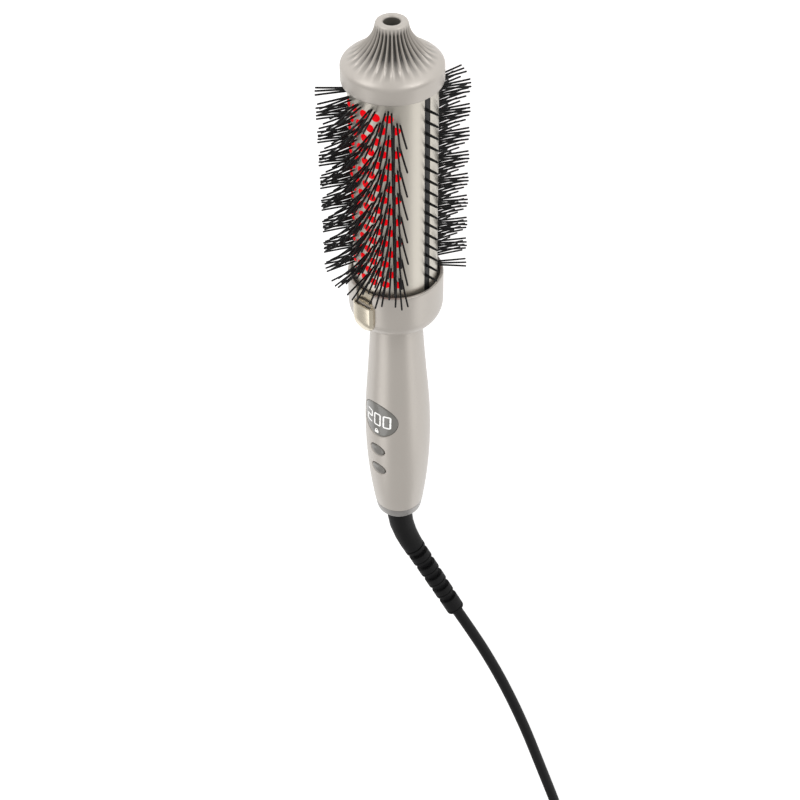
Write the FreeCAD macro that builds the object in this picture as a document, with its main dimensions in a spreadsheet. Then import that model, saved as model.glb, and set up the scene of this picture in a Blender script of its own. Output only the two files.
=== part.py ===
"""Heated round styling brush with a display, lying on a table on its bristles and handle.

Every piece is drawn in the brush's own frame first: Z runs up the brush's axis from the handle's
end to the tip, and an azimuth is measured round that axis from -Y towards +X. The finished pieces
are then laid down together: the tip points along +X, and the table is the plane Z = 0.
All lengths are in millimetres and all angles in degrees.
"""

import FreeCAD, Part
import math
import os

import Sketcher

V = FreeCAD.Vector
UP = V(0, 0, 1)

# name, value, what it measures
SIZES = [
    ("cap_rim_z", 284.0, "top of the tip's rim"),
    ("cap_wall_end_z", 257.8, "lower edge of the cap"),
    ("cap_radius", 21.45, "cap's straight wall, outside"),
    ("cap_bore_radius", 19.5, "recess that takes the barrel's end"),
    ("tip_hole_radius", 3.5, "blind hole in the tip"),
    ("tip_hole_depth", 12.0, "depth of that hole"),
    ("rib_count", 32, "ribs round the tip"),
    ("barrel_radius", 19.0, "heated barrel, outside"),
    ("barrel_wall", 1.0, "thickness of the barrel's wall"),
    ("barrel_top_z", 264.0, "upper end of the barrel"),
    ("barrel_foot_z", 143.0, "lower end of the barrel"),
    ("comb_azimuth", 48.0, "middle of one comb strip, the other is opposite"),
    ("comb_slot_width", 3.5, "slot in the barrel for a comb strip"),
    ("comb_slot_foot_z", 160.0, "lower end of that slot"),
    ("comb_slot_top_z", 258.8, "upper end of that slot"),
    ("comb_strip_width", 3.4, "comb strip in its slot"),
    ("comb_face_radius", 18.6, "face of the strip, a little sunk in the barrel"),
    ("comb_back_radius", 16.9, "back of the strip"),
    ("comb_tooth_tip_radius", 24.8, "tips of the comb teeth"),
    ("comb_tooth_width", 1.2, "thickness of a tooth"),
    ("comb_tooth_pitch", 5.75, "spacing of the teeth"),
    ("comb_tooth_count", 16, "teeth on one strip"),
    ("comb_first_tooth_z", 164.1, "lowest tooth"),
    ("control_azimuth", -41.5, "middle of the display, buttons and ion outlet"),
    ("field_azimuth", -43.0, "middle of the front field of tufts, the rear one is opposite"),
    ("tuft_column_step", 8.4, "angle between neighbouring columns of tufts"),
    ("tuft_columns", 12, "columns of tufts in one field"),
    ("tuft_count", 9, "tufts in every other column, with one less in those between"),
    ("tuft_pitch", 11.5, "spacing of the tufts along a column"),
    ("tuft_first_z", 160.85, "lowest tuft"),
    ("bristle_tip_radius", 32.35, "circle of the bristle tips"),
    ("bristle_fan", 9.5, "angle from a tuft's middle to its side bristles"),
    ("bristle_lean", 4.0, "angle of the middle bristle towards the handle"),
    ("bristle_width", 1.05, "side of a tuft's three-cornered root"),
    ("rail_back_radius", 16.9, "back of the rail that carries a column of tufts"),
    ("rail_face_radius", 17.85, "face of that rail, against the barrel"),
    ("rail_width", 1.5, "width of a rail"),
    ("rail_foot_z", 159.6, "lower end of a rail"),
    ("rail_top_z", 258.5, "upper end of a rail"),
    ("window_radius", 1.7, "infrared window"),
    ("window_drop", 2.5, "from a tuft down to the middle of its window"),
    ("window_lowest_z", 164.0, "a window lower than this has no room above the collar"),
    ("window_seat_radius", 18.9, "underside of a window"),
    ("window_face_radius", 19.12, "face of a window"),
    ("collar_top_z", 158.0, "rim of the collar"),
    ("collar_wall_end_z", 142.0, "where the collar's wall turns into its bowl"),
    ("collar_radius", 21.9, "collar, outside"),
    ("collar_foot_z", 130.5, "bottom of the bowl"),
    ("collar_wall", 1.7, "thickness of the collar"),
    ("neck_radius", 12.0, "handle where it leaves the collar"),
    ("neck_bore_radius", 9.2, "way for the wires through the neck"),
    ("handle_arc_top_z", 94.0, "where the handle's curve meets its neck"),
    ("handle_arc_top_radius", 14.27, "handle there"),
    ("handle_belly_z", 57.0, "widest place of the handle"),
    ("handle_belly_radius", 16.2, "handle there"),
    ("handle_arc_radius", 355.0, "radius of the handle's long curve"),
    ("handle_end_z", 5.5, "lower end of the handle's sleeve"),
    ("handle_end_radius", 12.45, "handle there"),
    ("ring_end_radius", 11.5, "end ring's lower edge"),
    ("swivel_radius", 6.0, "journal of the cord's swivel"),
    ("swivel_play", 0.05, "play of that journal, on the radius"),
    ("display_z", 72.8, "middle of the display window"),
    ("display_radius", 10.3, "display window"),
    ("power_button_z", 51.9, "middle of the upper button"),
    ("mode_button_z", 38.0, "middle of the lower button"),
    ("button_half_width", 4.15, "button across the handle"),
    ("button_half_height", 3.2, "button along the handle"),
    ("button_play", 0.3, "gap round a button"),
    ("button_travel", 0.5, "how far a button goes in"),
    ("cable_radius", 3.1, "mains cable"),
    ("boot_radius", 6.7, "smooth part of the strain relief"),
    ("coil_middle_radius", 36.8, "middle of the coil's turns"),
    ("up_azimuth", -10.85, "azimuth that faces up from the table"),
]

doc = FreeCAD.newDocument("styling_brush")
sheet = doc.addObject("Spreadsheet::Sheet", "sizes")
for row, (alias, number, note) in enumerate(SIZES, 1):
    sheet.set(f"A{row}", alias)
    sheet.set(f"B{row}", str(number))
    sheet.set(f"C{row}", note)
    sheet.setAlias(f"B{row}", alias)
doc.recompute()


class Size:
    """A length together with the sheet expression that gives it."""

    def __init__(self, number, text=None):
        self.number = float(number)
        self.text = text or f"{number:.6g}"

    def joined(self, other, sign, number):
        return Size(number, f"({self.text} {sign} {as_size(other).text})")

    def __add__(self, other):
        return self.joined(other, "+", self.number + float(other))

    def __sub__(self, other):
        return self.joined(other, "-", self.number - float(other))

    def __mul__(self, other):
        return self.joined(other, "*", self.number * float(other))

    def __truediv__(self, other):
        return self.joined(other, "/", self.number / float(other))

    def __rsub__(self, other):
        return as_size(other) - self

    def __neg__(self):
        return Size(-self.number, f"(-1 * {self.text})")

    def __float__(self):
        return self.number


def as_size(value):
    return value if isinstance(value, Size) else Size(value)


size = {alias: Size(sheet.get(alias), f"sizes.{alias}") for alias, _, _ in SIZES}
ZERO = Size(0)

# The finished pieces, by name, in the brush's own frame or, for the cord, on the table.
pieces = {}
on_table = {}


# ---------------------------------------------------------------- drawing helpers


def bind(target, **properties):
    """Sets an object's properties and ties those that come from the sheet to it."""
    for name, value in properties.items():
        path = name.replace("__", ".")
        if isinstance(value, Size):
            target.setExpression(path, value.text)
        else:
            setattr(target, path, value)


def new_body(name):
    body = doc.addObject("PartDesign::Body", name)
    body.Label = name
    return body


def new_sketch(body, plane, name):
    """A sketch on one of the body's own planes: XY, XZ or YZ."""
    sketch = body.newObject("Sketcher::SketchObject", name)
    support = next(o for o in body.Origin.OriginFeatures if o.Role == f"{plane}_Plane")
    sketch.AttachmentSupport = [(support, "")]
    sketch.MapMode = "FlatFace"
    return sketch


def arc_between(start, end, radius):
    """An arc of this signed radius: positive turns left on its way, and negative turns right."""
    chord = end - start
    side = V(-chord.y, chord.x, 0).normalize()
    rise = math.sqrt(max(radius**2 - (chord.Length / 2) ** 2, 0.0))
    centre = (start + end) / 2 + side * math.copysign(rise, radius)
    angles = [math.atan2(p.y - centre.y, p.x - centre.x) for p in (start, end)]
    if radius < 0:
        angles.reverse()
    return Part.ArcOfCircle(Part.Circle(centre, UP, abs(radius)), *angles)


def draw(sketch, corners):
    """Draws a closed outline, with each corner and each arc's radius tied to the sheet.

    A corner is (across, along), or (across, along, radius) where an arc leads to it.
    """
    places = [V(float(c[0]), float(c[1]), 0) for c in corners]
    ends = []
    for i, corner in enumerate(corners):
        start, end = places[i - 1], places[i]
        if len(corner) == 3:
            sketch.addGeometry(arc_between(start, end, float(corner[2])), False)
            ends.append((1, 2) if float(corner[2]) > 0 else (2, 1))
        else:
            sketch.addGeometry(Part.LineSegment(start, end), False)
            ends.append((1, 2))
    for i, corner in enumerate(corners):
        following = (i + 1) % len(corners)
        sketch.addConstraint(
            Sketcher.Constraint("Coincident", i, ends[i][1], following, ends[following][0])
        )
        for kind, value, axis in (("DistanceX", corner[0], -2), ("DistanceY", corner[1], -1)):
            if abs(float(value)) < 1e-9:
                sketch.addConstraint(Sketcher.Constraint("PointOnObject", i, ends[i][1], axis))
                continue
            index = sketch.addConstraint(
                Sketcher.Constraint(kind, -1, 1, i, ends[i][1], float(value))
            )
            sketch.setExpression(f"Constraints[{index}]", as_size(value).text)
        if len(corner) == 3:
            index = sketch.addConstraint(
                Sketcher.Constraint("Radius", i, abs(float(corner[2])))
            )
            text = as_size(corner[2]).text
            sketch.setExpression(f"Constraints[{index}]", f"abs({text})")


def turned(name, corners):
    """A body turned about the brush's axis from an outline of (radius, height) corners."""
    body = new_body(name)
    sketch = new_sketch(body, "XZ", f"{name}_outline")
    draw(sketch, corners)
    revolution = body.newObject("PartDesign::Revolution", f"{name}_turning")
    revolution.Profile = sketch
    revolution.ReferenceAxis = (sketch, ["V_Axis"])
    revolution.Angle = 360
    return body


def tube_outline(inner, outer, foot, top):
    return [(outer, foot), (outer, top), (inner, top), (inner, foot)]


def cylinder(name, radius, foot, height, azimuth=None, across=ZERO):
    """A cylinder along the axis, or lying out along an azimuth at the height `across`."""
    made = doc.addObject("Part::Cylinder", name)
    bind(made, Radius=as_size(radius), Height=as_size(height))
    if azimuth is None:
        made.Placement.Base = UP * float(foot)
        return made
    outward = radial(float(azimuth))
    turn = FreeCAD.Rotation(UP, outward)
    made.Placement = FreeCAD.Placement(outward * float(foot) + UP * float(across), turn)
    return made


def block(name, azimuth, near, far, width, foot, top, shift=0.0):
    """A block whose faces lie between two distances from the axis, at an azimuth."""
    made = doc.addObject("Part::Box", name)
    near, far, width, foot, top = (as_size(v) for v in (near, far, width, foot, top))
    bind(made, Length=width, Width=far - near, Height=top - foot)
    corner = V(float(shift) - float(width) / 2, -float(far), float(foot))
    turn = FreeCAD.Rotation(UP, float(azimuth))
    made.Placement = FreeCAD.Placement(turn.multVec(corner), turn)
    return made


def joined(kind, name, base, tools):
    """Cuts tools from base, or fuses or intersects them with it, in one boolean."""
    made = doc.addObject(f"Part::{kind}", name)
    if kind in ("Cut", "Common"):
        tool = tools[0]
        if len(tools) > 1:
            tool = doc.addObject("Part::MultiFuse", f"{name}_tools")
            tool.Shapes = tools
        made.Base, made.Tool = base, tool
    else:
        made.Shapes = [base, *tools]
    made.Refine = True
    return made


def keep(name, made):
    """Names a finished piece of the brush."""
    made.Label = name
    pieces[name] = made
    return made


def keep_shape(name, shape, where=pieces):
    """Names a finished piece whose shape was made directly."""
    made = doc.addObject("Part::Feature", name)
    made.Shape = shape
    made.Label = name
    where[name] = made
    return made


def radial(azimuth):
    """The direction out from the axis at an azimuth."""
    angle = math.radians(azimuth)
    return V(math.sin(angle), -math.cos(angle), 0)


def upright(azimuth, across, out, height):
    """A place given by its distance across and out along an azimuth, and its height."""
    return radial(azimuth) * out + radial(azimuth + 90) * across + UP * height


# ---------------------------------------------------------------- cool tip


# Down the trumpet from its rim: depth below the rim, radius on a rib, radius in a valley.
FLARE = [
    (1.2, 6.9, 6.85),
    (2.6, 7.1, 6.9),
    (5.3, 7.95, 7.3),
    (9.0, 10.2, 9.0),
    (12.2, 12.9, 11.5),
    (14.9, 16.2, 15.1),
    (17.0, 19.4, 18.9),
    (18.4, 20.75, 20.7),
]


def star(depth, rib, valley):
    """One ring of corners round the tip, on ribs and in valleys by turns."""
    count, height = int(size["rib_count"].number), size["cap_rim_z"].number - depth
    return [
        upright(180 * k / count, 0, valley if k % 2 else rib, height) for k in range(2 * count)
    ]


def facet(*corners):
    return Part.Face(Part.makePolygon([*corners, corners[0]]))


def ribbed_flare():
    """The trumpet between its rim and its shoulder, with ribs that fade out on the shoulder."""
    rings = [star(*row) for row in FLARE]
    faces = [facet(*rings[0]), facet(*rings[-1])]
    for upper, lower in zip(rings, rings[1:]):
        for k in range(len(upper)):
            faces.append(facet(upper[k - 1], upper[k], lower[k]))
            faces.append(facet(upper[k - 1], lower[k], lower[k - 1]))
    return Part.Solid(Part.Shell(faces))


def cool_tip():
    """A hollow cap: rim, ribbed flare, rounded shoulder and straight wall round the barrel."""
    rim, wall_end = size["cap_rim_z"].number, size["cap_wall_end_z"].number
    radius, bore = size["cap_radius"].number, size["cap_bore_radius"].number
    hole, depth = size["tip_hole_radius"].number, size["tip_hole_depth"].number
    low, top = rim - FLARE[-1][0], rim - FLARE[0][0]
    shoulder_r, inner_r, floor_z = FLARE[-1][1] - 0.1, 6.0, size["barrel_top_z"].number + 0.6
    skirt = Part.makeCylinder(radius, low - 1.0 - wall_end, V(0, 0, wall_end))
    shoulder = Part.makeCone(radius, shoulder_r, 1.0, V(0, 0, low - 1.0))
    crown = Part.makeCone(FLARE[0][2] - 0.05, hole + 1.6, 1.2, V(0, 0, top))
    recess = Part.makeCylinder(bore, floor_z - wall_end, V(0, 0, wall_end))
    stem_way = Part.makeCylinder(inner_r, rim - depth - 2.0 - wall_end, V(0, 0, wall_end))
    mouth = Part.makeCylinder(hole, depth, V(0, 0, rim - depth))
    cap = skirt.fuse([shoulder, ribbed_flare(), crown])
    return cap.cut([recess, stem_way, mouth])


keep_shape("cool_tip", cool_tip())

tip_core = turned(
    "tip_core",
    [
        (ZERO, Size(250.2)),
        (Size(6), Size(250.2)),
        (Size(6), Size(259.2)),
        (size["barrel_radius"] - size["barrel_wall"] - 0.05, Size(259.2)),
        (size["barrel_radius"] - size["barrel_wall"] - 0.05, size["barrel_top_z"]),
        (Size(5.9), size["barrel_top_z"]),
        (Size(5.9), size["cap_rim_z"] - size["tip_hole_depth"] - 2.1),
        (ZERO, size["cap_rim_z"] - size["tip_hole_depth"] - 2.1),
    ],
)
keep("tip_core", tip_core)

# ---------------------------------------------------------------- barrel, bristles, windows

barrel_inside = size["barrel_radius"] - size["barrel_wall"]
barrel_length = size["barrel_top_z"] - size["barrel_foot_z"]
barrel_skin = cylinder("barrel_skin", size["barrel_radius"], size["barrel_foot_z"], barrel_length)
barrel_hollow = cylinder("barrel_hollow", barrel_inside, size["barrel_foot_z"], barrel_length)
comb_slots = block(
    "comb_slots",
    size["comb_azimuth"].number,
    -(size["barrel_radius"] + 1),
    size["barrel_radius"] + 1,
    size["comb_slot_width"],
    size["comb_slot_foot_z"],
    size["comb_slot_top_z"],
)
keep("barrel_tube", joined("Cut", "barrel_tube", barrel_skin, [barrel_hollow, comb_slots]))


def comb_strip(name, azimuth):
    """A flat strip with a row of tapered teeth, made along X and then turned to its azimuth."""
    body = new_body(name)
    foot, top = size["comb_slot_foot_z"] + 0.1, size["comb_slot_top_z"] - 0.1
    back, face = size["comb_back_radius"], size["comb_face_radius"]
    strip = new_sketch(body, "YZ", f"{name}_strip")
    draw(strip, [(-face, foot), (-back, foot), (-back, top), (-face, top)])
    pad = body.newObject("PartDesign::Pad", f"{name}_pad")
    pad.Profile, pad.SideType = strip, "Symmetric"
    pad.setExpression("Length", size["comb_strip_width"].text)
    tip, first = size["comb_tooth_tip_radius"], size["comb_first_tooth_z"]
    outline = new_sketch(body, "YZ", f"{name}_tooth")
    root, end = Size(0.75), Size(0.42)
    draw(
        outline,
        [
            (-(face - 0.2), first - root),
            (-tip, first - end),
            (-tip, first + end),
            (-(face - 0.2), first + root),
        ],
    )
    tooth = body.newObject("PartDesign::Pad", f"{name}_tooth_pad")
    tooth.Profile, tooth.SideType = outline, "Symmetric"
    tooth.setExpression("Length", size["comb_tooth_width"].text)
    doc.recompute()
    row = body.newObject("PartDesign::LinearPattern", f"{name}_teeth")
    row.Originals = [tooth]
    row.Direction = (outline, ["V_Axis"])
    row.setExpression("Length", "sizes.comb_tooth_pitch * (sizes.comb_tooth_count - 1)")
    row.setExpression("Occurrences", "sizes.comb_tooth_count")
    body.Tip = row
    body.Placement = FreeCAD.Placement(V(), FreeCAD.Rotation(UP, azimuth))
    return keep(name, body)


comb_strip("comb_strip_right", size["comb_azimuth"].number)
comb_strip("comb_strip_left", size["comb_azimuth"].number + 180)


def tuft_columns(field_azimuth):
    """Each column's azimuth and tuft heights: neighbours are staggered by half a pitch."""
    columns, count = int(size["tuft_columns"].number), int(size["tuft_count"].number)
    pitch, first = size["tuft_pitch"].number, size["tuft_first_z"].number
    step = size["tuft_column_step"].number
    for column in range(columns):
        shift = column % 2
        heights = [first + pitch * (k + shift / 2) for k in range(count - shift)]
        yield field_azimuth + step * (column - (columns - 1) / 2), heights


def bristle(root, direction, face):
    """One three-sided bristle that tapers a little from its root to the tip circle."""
    length = (size["bristle_tip_radius"].number - face) / math.cos(
        math.radians(size["bristle_fan"].number * 0.5)
    )
    way = direction * length
    middle = (root[0] + root[1] + root[2]) / 3
    tip = [middle + (p - middle) * 0.8 + way for p in root]
    sides = [[root[i], root[i - 1], tip[i - 1], tip[i]] for i in range(3)]
    faces = [Part.Face(Part.makePolygon([*side, side[0]])) for side in [*sides, root, tip]]
    return Part.Solid(Part.Shell(faces))


def tuft(azimuth, height):
    """Three bristles that fan out from one three-cornered root on the rail."""
    width, face = size["bristle_width"].number, size["rail_face_radius"].number
    fan, lean = size["bristle_fan"].number, size["bristle_lean"].number
    face -= 0.05
    centre = upright(azimuth, 0, face, height)
    ring = [
        centre + upright(azimuth, width * 0.58 * math.sin(a), 0, width * 0.58 * math.cos(a))
        for a in (math.radians(60 + 120 * k) for k in range(3))
    ]
    ways = []
    for k in range(3):
        outward = (ring[k] + ring[k - 1]) / 2 - centre
        across = outward.dot(radial(azimuth + 90))
        turn = fan * (abs(across) > 0.05) * math.copysign(1, across)
        rise = -lean if abs(across) <= 0.05 else lean * 0.4
        way = radial(azimuth + turn) + UP * math.tan(math.radians(rise))
        ways.append(way.normalize())
    return [
        bristle([centre, ring[k - 1], ring[k]], ways[k], size["rail_face_radius"].number)
        for k in range(3)
    ]


def bristle_rows(field_azimuth):
    """Columns of tufts, each column fused with the straight rail that carries it."""
    back, face = size["rail_back_radius"].number, size["rail_face_radius"].number
    width = size["rail_width"].number
    foot, top = size["rail_foot_z"].number, size["rail_top_z"].number
    rows = []
    for azimuth, heights in tuft_columns(field_azimuth):
        rail = Part.makeBox(width, face - back, top - foot, V(-width / 2, -face, foot))
        rail.rotate(V(), UP, azimuth)
        tools = [b for height in heights for b in tuft(azimuth, height)]
        rows.append(rail.fuse(tools).removeSplitter())
    return Part.makeCompound([solid for row in rows for solid in row.Solids])


front_azimuth = size["field_azimuth"].number
keep_shape("bristle_rows_front", bristle_rows(front_azimuth))
keep_shape("bristle_rows_rear", bristle_rows(front_azimuth + 180))


def infrared_windows(field_azimuth):
    """Six-sided lenses under the tufts, each seated in the barrel's skin."""
    radius, drop = size["window_radius"].number, size["window_drop"].number
    seat, face = size["window_seat_radius"].number, size["window_face_radius"].number
    lenses = []
    for azimuth, heights in tuft_columns(field_azimuth):
        for height in heights:
            middle = height - drop
            if middle < size["window_lowest_z"].number:
                continue
            rim = [
                upright(azimuth, radius * math.sin(a), seat, middle + radius * math.cos(a))
                for a in (math.radians(60 * k) for k in range(6))
            ]
            lens = Part.Face(Part.makePolygon([*rim, rim[0]]))
            lenses.append(lens.extrude(radial(azimuth) * (face - seat)))
    return Part.makeCompound(lenses)


keep_shape("infrared_windows_front", infrared_windows(front_azimuth))
keep_shape("infrared_windows_rear", infrared_windows(front_azimuth + 180))

# ---------------------------------------------------------------- inside the barrel

ptc_slot = block("ptc_slot", front_azimuth, -2.6, 2.6, 18.2, 165, 251)
heater_round = cylinder("heater_round", 12.5, 166, 84)
fuse_bore = cylinder("fuse_bore", 2.05, 165, 30)
fuse_bore.Placement.Base = upright(front_azimuth + 90, 0, 0, 165) + radial(front_azimuth) * 7
sensor_bore = cylinder("sensor_bore", 1.4, 165, 30)
sensor_bore.Placement.Base = radial(front_azimuth) * -7 + UP * 165
keep("heater_core", joined("Cut", "heater_core", heater_round, [ptc_slot, fuse_bore, sensor_bore]))

plates = [
    block(f"ptc_plate_{k}", front_azimuth, -2.5, 2.5, 18.0, 168 + 27.5 * k, 168 + 27.5 * k + 25)
    for k in range(3)
]
keep("ptc_plates", joined("MultiFuse", "ptc_plates", plates[0], plates[1:]))

thermal_fuse = cylinder("thermal_fuse", 2.0, 168, 12)
thermal_fuse.Placement.Base = radial(front_azimuth) * 7 + UP * 168
keep("thermal_fuse", thermal_fuse)
sensor = cylinder("temperature_sensor", 1.35, 180, 6)
sensor.Placement.Base = radial(front_azimuth) * -7 + UP * 180
keep("temperature_sensor", sensor)

for side, azimuth in (("front", front_azimuth), ("rear", front_azimuth + 180)):
    board = block(f"infrared_board_{side}", azimuth, 13.4, 14.6, 14.0, 167, 257)
    diodes = [
        block(f"diode_{side}_{k}", azimuth, 14.6, 15.8, 3.0, 172 + 11.5 * k, 176 + 11.5 * k)
        for k in range(7)
    ]
    keep(
        f"infrared_board_{side}",
        joined("MultiFuse", f"infrared_board_{side}_set", board, diodes),
    )

barrel_seat = turned(
    "barrel_seat",
    [
        (Size(5), Size(134)),
        (Size(12), Size(134)),
        (Size(12), size["barrel_foot_z"] - 1.5),
        (Size(19.9), size["barrel_foot_z"] - 1.5),
        (Size(19.9), size["barrel_foot_z"]),
        (barrel_inside - 0.05, size["barrel_foot_z"]),
        (barrel_inside - 0.05, Size(159)),
        (Size(9), Size(159)),
        (Size(9), Size(166)),
        (Size(5), Size(166)),
    ],
)
keep("barrel_seat", barrel_seat)

# ---------------------------------------------------------------- collar and ion outlet

collar_r, collar_wall = size["collar_radius"], size["collar_wall"]
collar_inside = collar_r - collar_wall
collar_body = turned(
    "collar_shell",
    [
        (collar_r, size["collar_top_z"]),
        (collar_inside, size["collar_top_z"]),
        (collar_inside, size["collar_wall_end_z"]),
        (Size(17.3), Size(136.2)),
        (Size(13.5), Size(133.2)),
        (size["neck_bore_radius"] + 0.3, Size(133.2)),
        (size["neck_bore_radius"] + 0.3, size["collar_foot_z"]),
        (size["neck_radius"] + 0.1, size["collar_foot_z"]),
        (size["neck_radius"] + 0.1, size["collar_foot_z"] + 0.9),
        (collar_r, size["collar_wall_end_z"] - 0.6, Size(9.9)),
    ],
)


def outlet_outline(name, near, far, margin):
    """The ion outlet's shield: straight sides that draw together in a rounded foot."""
    body = new_body(name)
    sketch = new_sketch(body, "XZ", f"{name}_outline")
    half, foot = Size(5.9 + margin), Size(136.6 - margin)
    top, bend = Size(151.2 + margin * 8), Size(143.5)
    draw(
        sketch,
        [
            (half, bend),
            (half, top),
            (-half, top),
            (-half, bend),
            (Size(-2.6), foot, Size(14.0)),
            (Size(2.6), foot),
            (half, bend, Size(14.0)),
        ][1:],
    )
    pad = body.newObject("PartDesign::Pad", f"{name}_pad")
    pad.Profile, pad.SideType = sketch, "Two sides"
    pad.Type = pad.Type2 = "Length"
    pad.Length, pad.Length2 = float(far), -float(near)
    body.Placement = FreeCAD.Placement(
        V(), FreeCAD.Rotation(UP, size["control_azimuth"].number)
    )
    return body


outlet_gap = joined(
    "Common",
    "outlet_gap",
    outlet_outline("outlet_gap_form", 15, 30, 0.05),
    [turned("outlet_gap_ring", tube_outline(collar_inside, Size(30), Size(130), Size(160)))],
)
collar_notch = block("collar_notch", size["control_azimuth"].number, 15, 30, 9.4, 151, 160)
keep("barrel_collar", joined("Cut", "barrel_collar", collar_body, [outlet_gap, collar_notch]))

outlet_block = outlet_outline("outlet_block", 15, 30, 0.0)
outlet_form = turned(
    "outlet_form",
    [
        (Size(20.5), Size(133)),
        (Size(24.0), Size(142.2), Size(60)),
        (Size(24.0), Size(150.6)),
        (Size(23.4), Size(151.2), Size(0.6)),
        (Size(20.25), Size(151.2)),
        (Size(20.25), Size(133)),
    ],
)
outlet_solid = joined("Common", "outlet_solid", outlet_block, [outlet_form])
outlet_slot = block(
    "outlet_slot", size["control_azimuth"].number, 20.9, 23.2, 9.0, 141.5, 153
)
keep("ion_outlet_bezel", joined("Cut", "ion_outlet_bezel", outlet_solid, [outlet_slot]))

needle = doc.addObject("Part::Cone", "ion_needle")
bind(needle, Radius1=0.7, Radius2=0.15, Height=7.0)
needle.Placement.Base = radial(size["control_azimuth"].number) * 22.05 + UP * 141.5
keep("ion_needle", needle)

collar_insert = turned(
    "collar_insert",
    tube_outline(
        size["barrel_radius"] + 0.05,
        collar_inside - 0.05,
        size["collar_top_z"] - 5.5,
        size["collar_top_z"] - 1.6,
    ),
)
insert_notch = block(
    "insert_notch", size["control_azimuth"].number, 15, 30, 9.4, 150, 160
)
keep("collar_insert", joined("Cut", "collar_insert_cut", collar_insert, [insert_notch]))

# ---------------------------------------------------------------- handle


def handle_outline(inset):
    """The handle's outside, drawn in by an inset: a straight neck and one long curve."""
    return [
        (size["neck_radius"] - inset, size["collar_foot_z"]),
        (ZERO, size["collar_foot_z"]),
        (ZERO, size["handle_end_z"]),
        (size["handle_end_radius"] - inset, size["handle_end_z"]),
        (
            size["handle_arc_top_radius"] - inset,
            size["handle_arc_top_z"],
            size["handle_arc_radius"] - inset,
        ),
    ]


control = size["control_azimuth"].number
sleeve_solid = turned("sleeve_solid", handle_outline(ZERO))
sleeve_hollow = turned(
    "sleeve_hollow",
    [
        (ZERO, Size(140)),
        (ZERO, ZERO),
        (Size(10.4), ZERO),
        (Size(10.4), Size(30)),
        (Size(13.1), Size(30)),
        (Size(13.1), Size(84)),
        (size["neck_bore_radius"], Size(84)),
        (size["neck_bore_radius"], Size(140)),
    ],
)
window_hole = cylinder(
    "window_hole", size["display_radius"] + 0.1, 2, 30, control, size["display_z"]
)


def oval(name, half_width, half_height, near, far, height):
    """An oval bar that lies out along the controls' azimuth."""
    outward = radial(control)
    turn = FreeCAD.Rotation(radial(control + 90), UP, outward, "ZXY")
    outline = doc.addObject("Part::Ellipse", f"{name}_outline")
    bind(outline, MajorRadius=half_width, MinorRadius=half_height)
    outline.Placement = FreeCAD.Placement(outward * near + UP * float(height), turn)
    bar = doc.addObject("Part::Extrusion", name)
    bar.Base = outline
    bar.DirMode = "Custom"
    bar.Dir = outward
    bar.LengthFwd = far - near
    bar.Solid = True
    return bar


button_heights = {
    "power_button": size["power_button_z"],
    "mode_button": size["mode_button_z"],
}
play = size["button_play"]
half_w, half_h = size["button_half_width"], size["button_half_height"]
button_holes = [
    oval(f"{name}_hole", half_w + play, half_h + play, 2, 30, height)
    for name, height in button_heights.items()
]
neck_spigot = turned(
    "neck_spigot",
    tube_outline(
        size["neck_bore_radius"] - 1.4,
        size["neck_bore_radius"] + 0.25,
        Size(126),
        Size(133.1),
    ),
)
sleeve_cut = joined(
    "Cut", "sleeve_cut", sleeve_solid, [sleeve_hollow, window_hole, *button_holes]
)
keep("handle_sleeve", joined("MultiFuse", "handle_sleeve", sleeve_cut, [neck_spigot]))


def crown(name, height, inset):
    """A cylinder that follows the handle's skin at a height, a little below it."""
    reach_r = size["handle_arc_radius"].number
    off = float(height) - size["handle_belly_z"].number
    skin = size["handle_belly_radius"].number - reach_r + math.sqrt(reach_r**2 - off**2) - inset
    made = cylinder(name, skin, float(height) - 20, 40)
    lean = math.degrees(math.asin(off / reach_r))
    turn = FreeCAD.Rotation(radial(control + 90), lean)
    pivot = radial(control) * skin + UP * float(height)
    made.Placement = FreeCAD.Placement(V(), turn, pivot) * made.Placement
    return made


lens_disc = cylinder(
    "lens_disc", size["display_radius"] - 0.02, 10.6, 10, control, size["display_z"]
)
lens_form = crown("lens_form", size["display_z"], 0.25)
keep("display_lens", joined("Common", "display_lens", lens_form, [lens_disc]))

for name, height in button_heights.items():
    stem = oval(f"{name}_stem", half_w, half_h, 11.5, 20, height)
    stem_cut = joined("Common", f"{name}_face", crown(f"{name}_form", height, 0.15), [stem])
    flange = oval(f"{name}_flange", half_w + 1.0, half_h + 1.0, 11.1, 11.8, height)
    keep(name, joined("MultiFuse", name, stem_cut, [flange]))

display_module = block("display_module", control, 8.1, 10.5, 15.2, 65.0, 80.6)
keep("display_module", display_module)
keep("control_board", block("control_board", control, 6.4, 8.0, 20.0, 33, 80))
for name, height in button_heights.items():
    switch = block(f"{name}_switch_case", control, 8.05, 10.1, 6.0, height - 3, height + 3)
    plunger = cylinder(f"{name}_plunger", 1.5, 10.1, 0.4, control, height)
    keep(f"{name}_switch", joined("MultiFuse", f"{name}_switch_set", switch, [plunger]))

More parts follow.
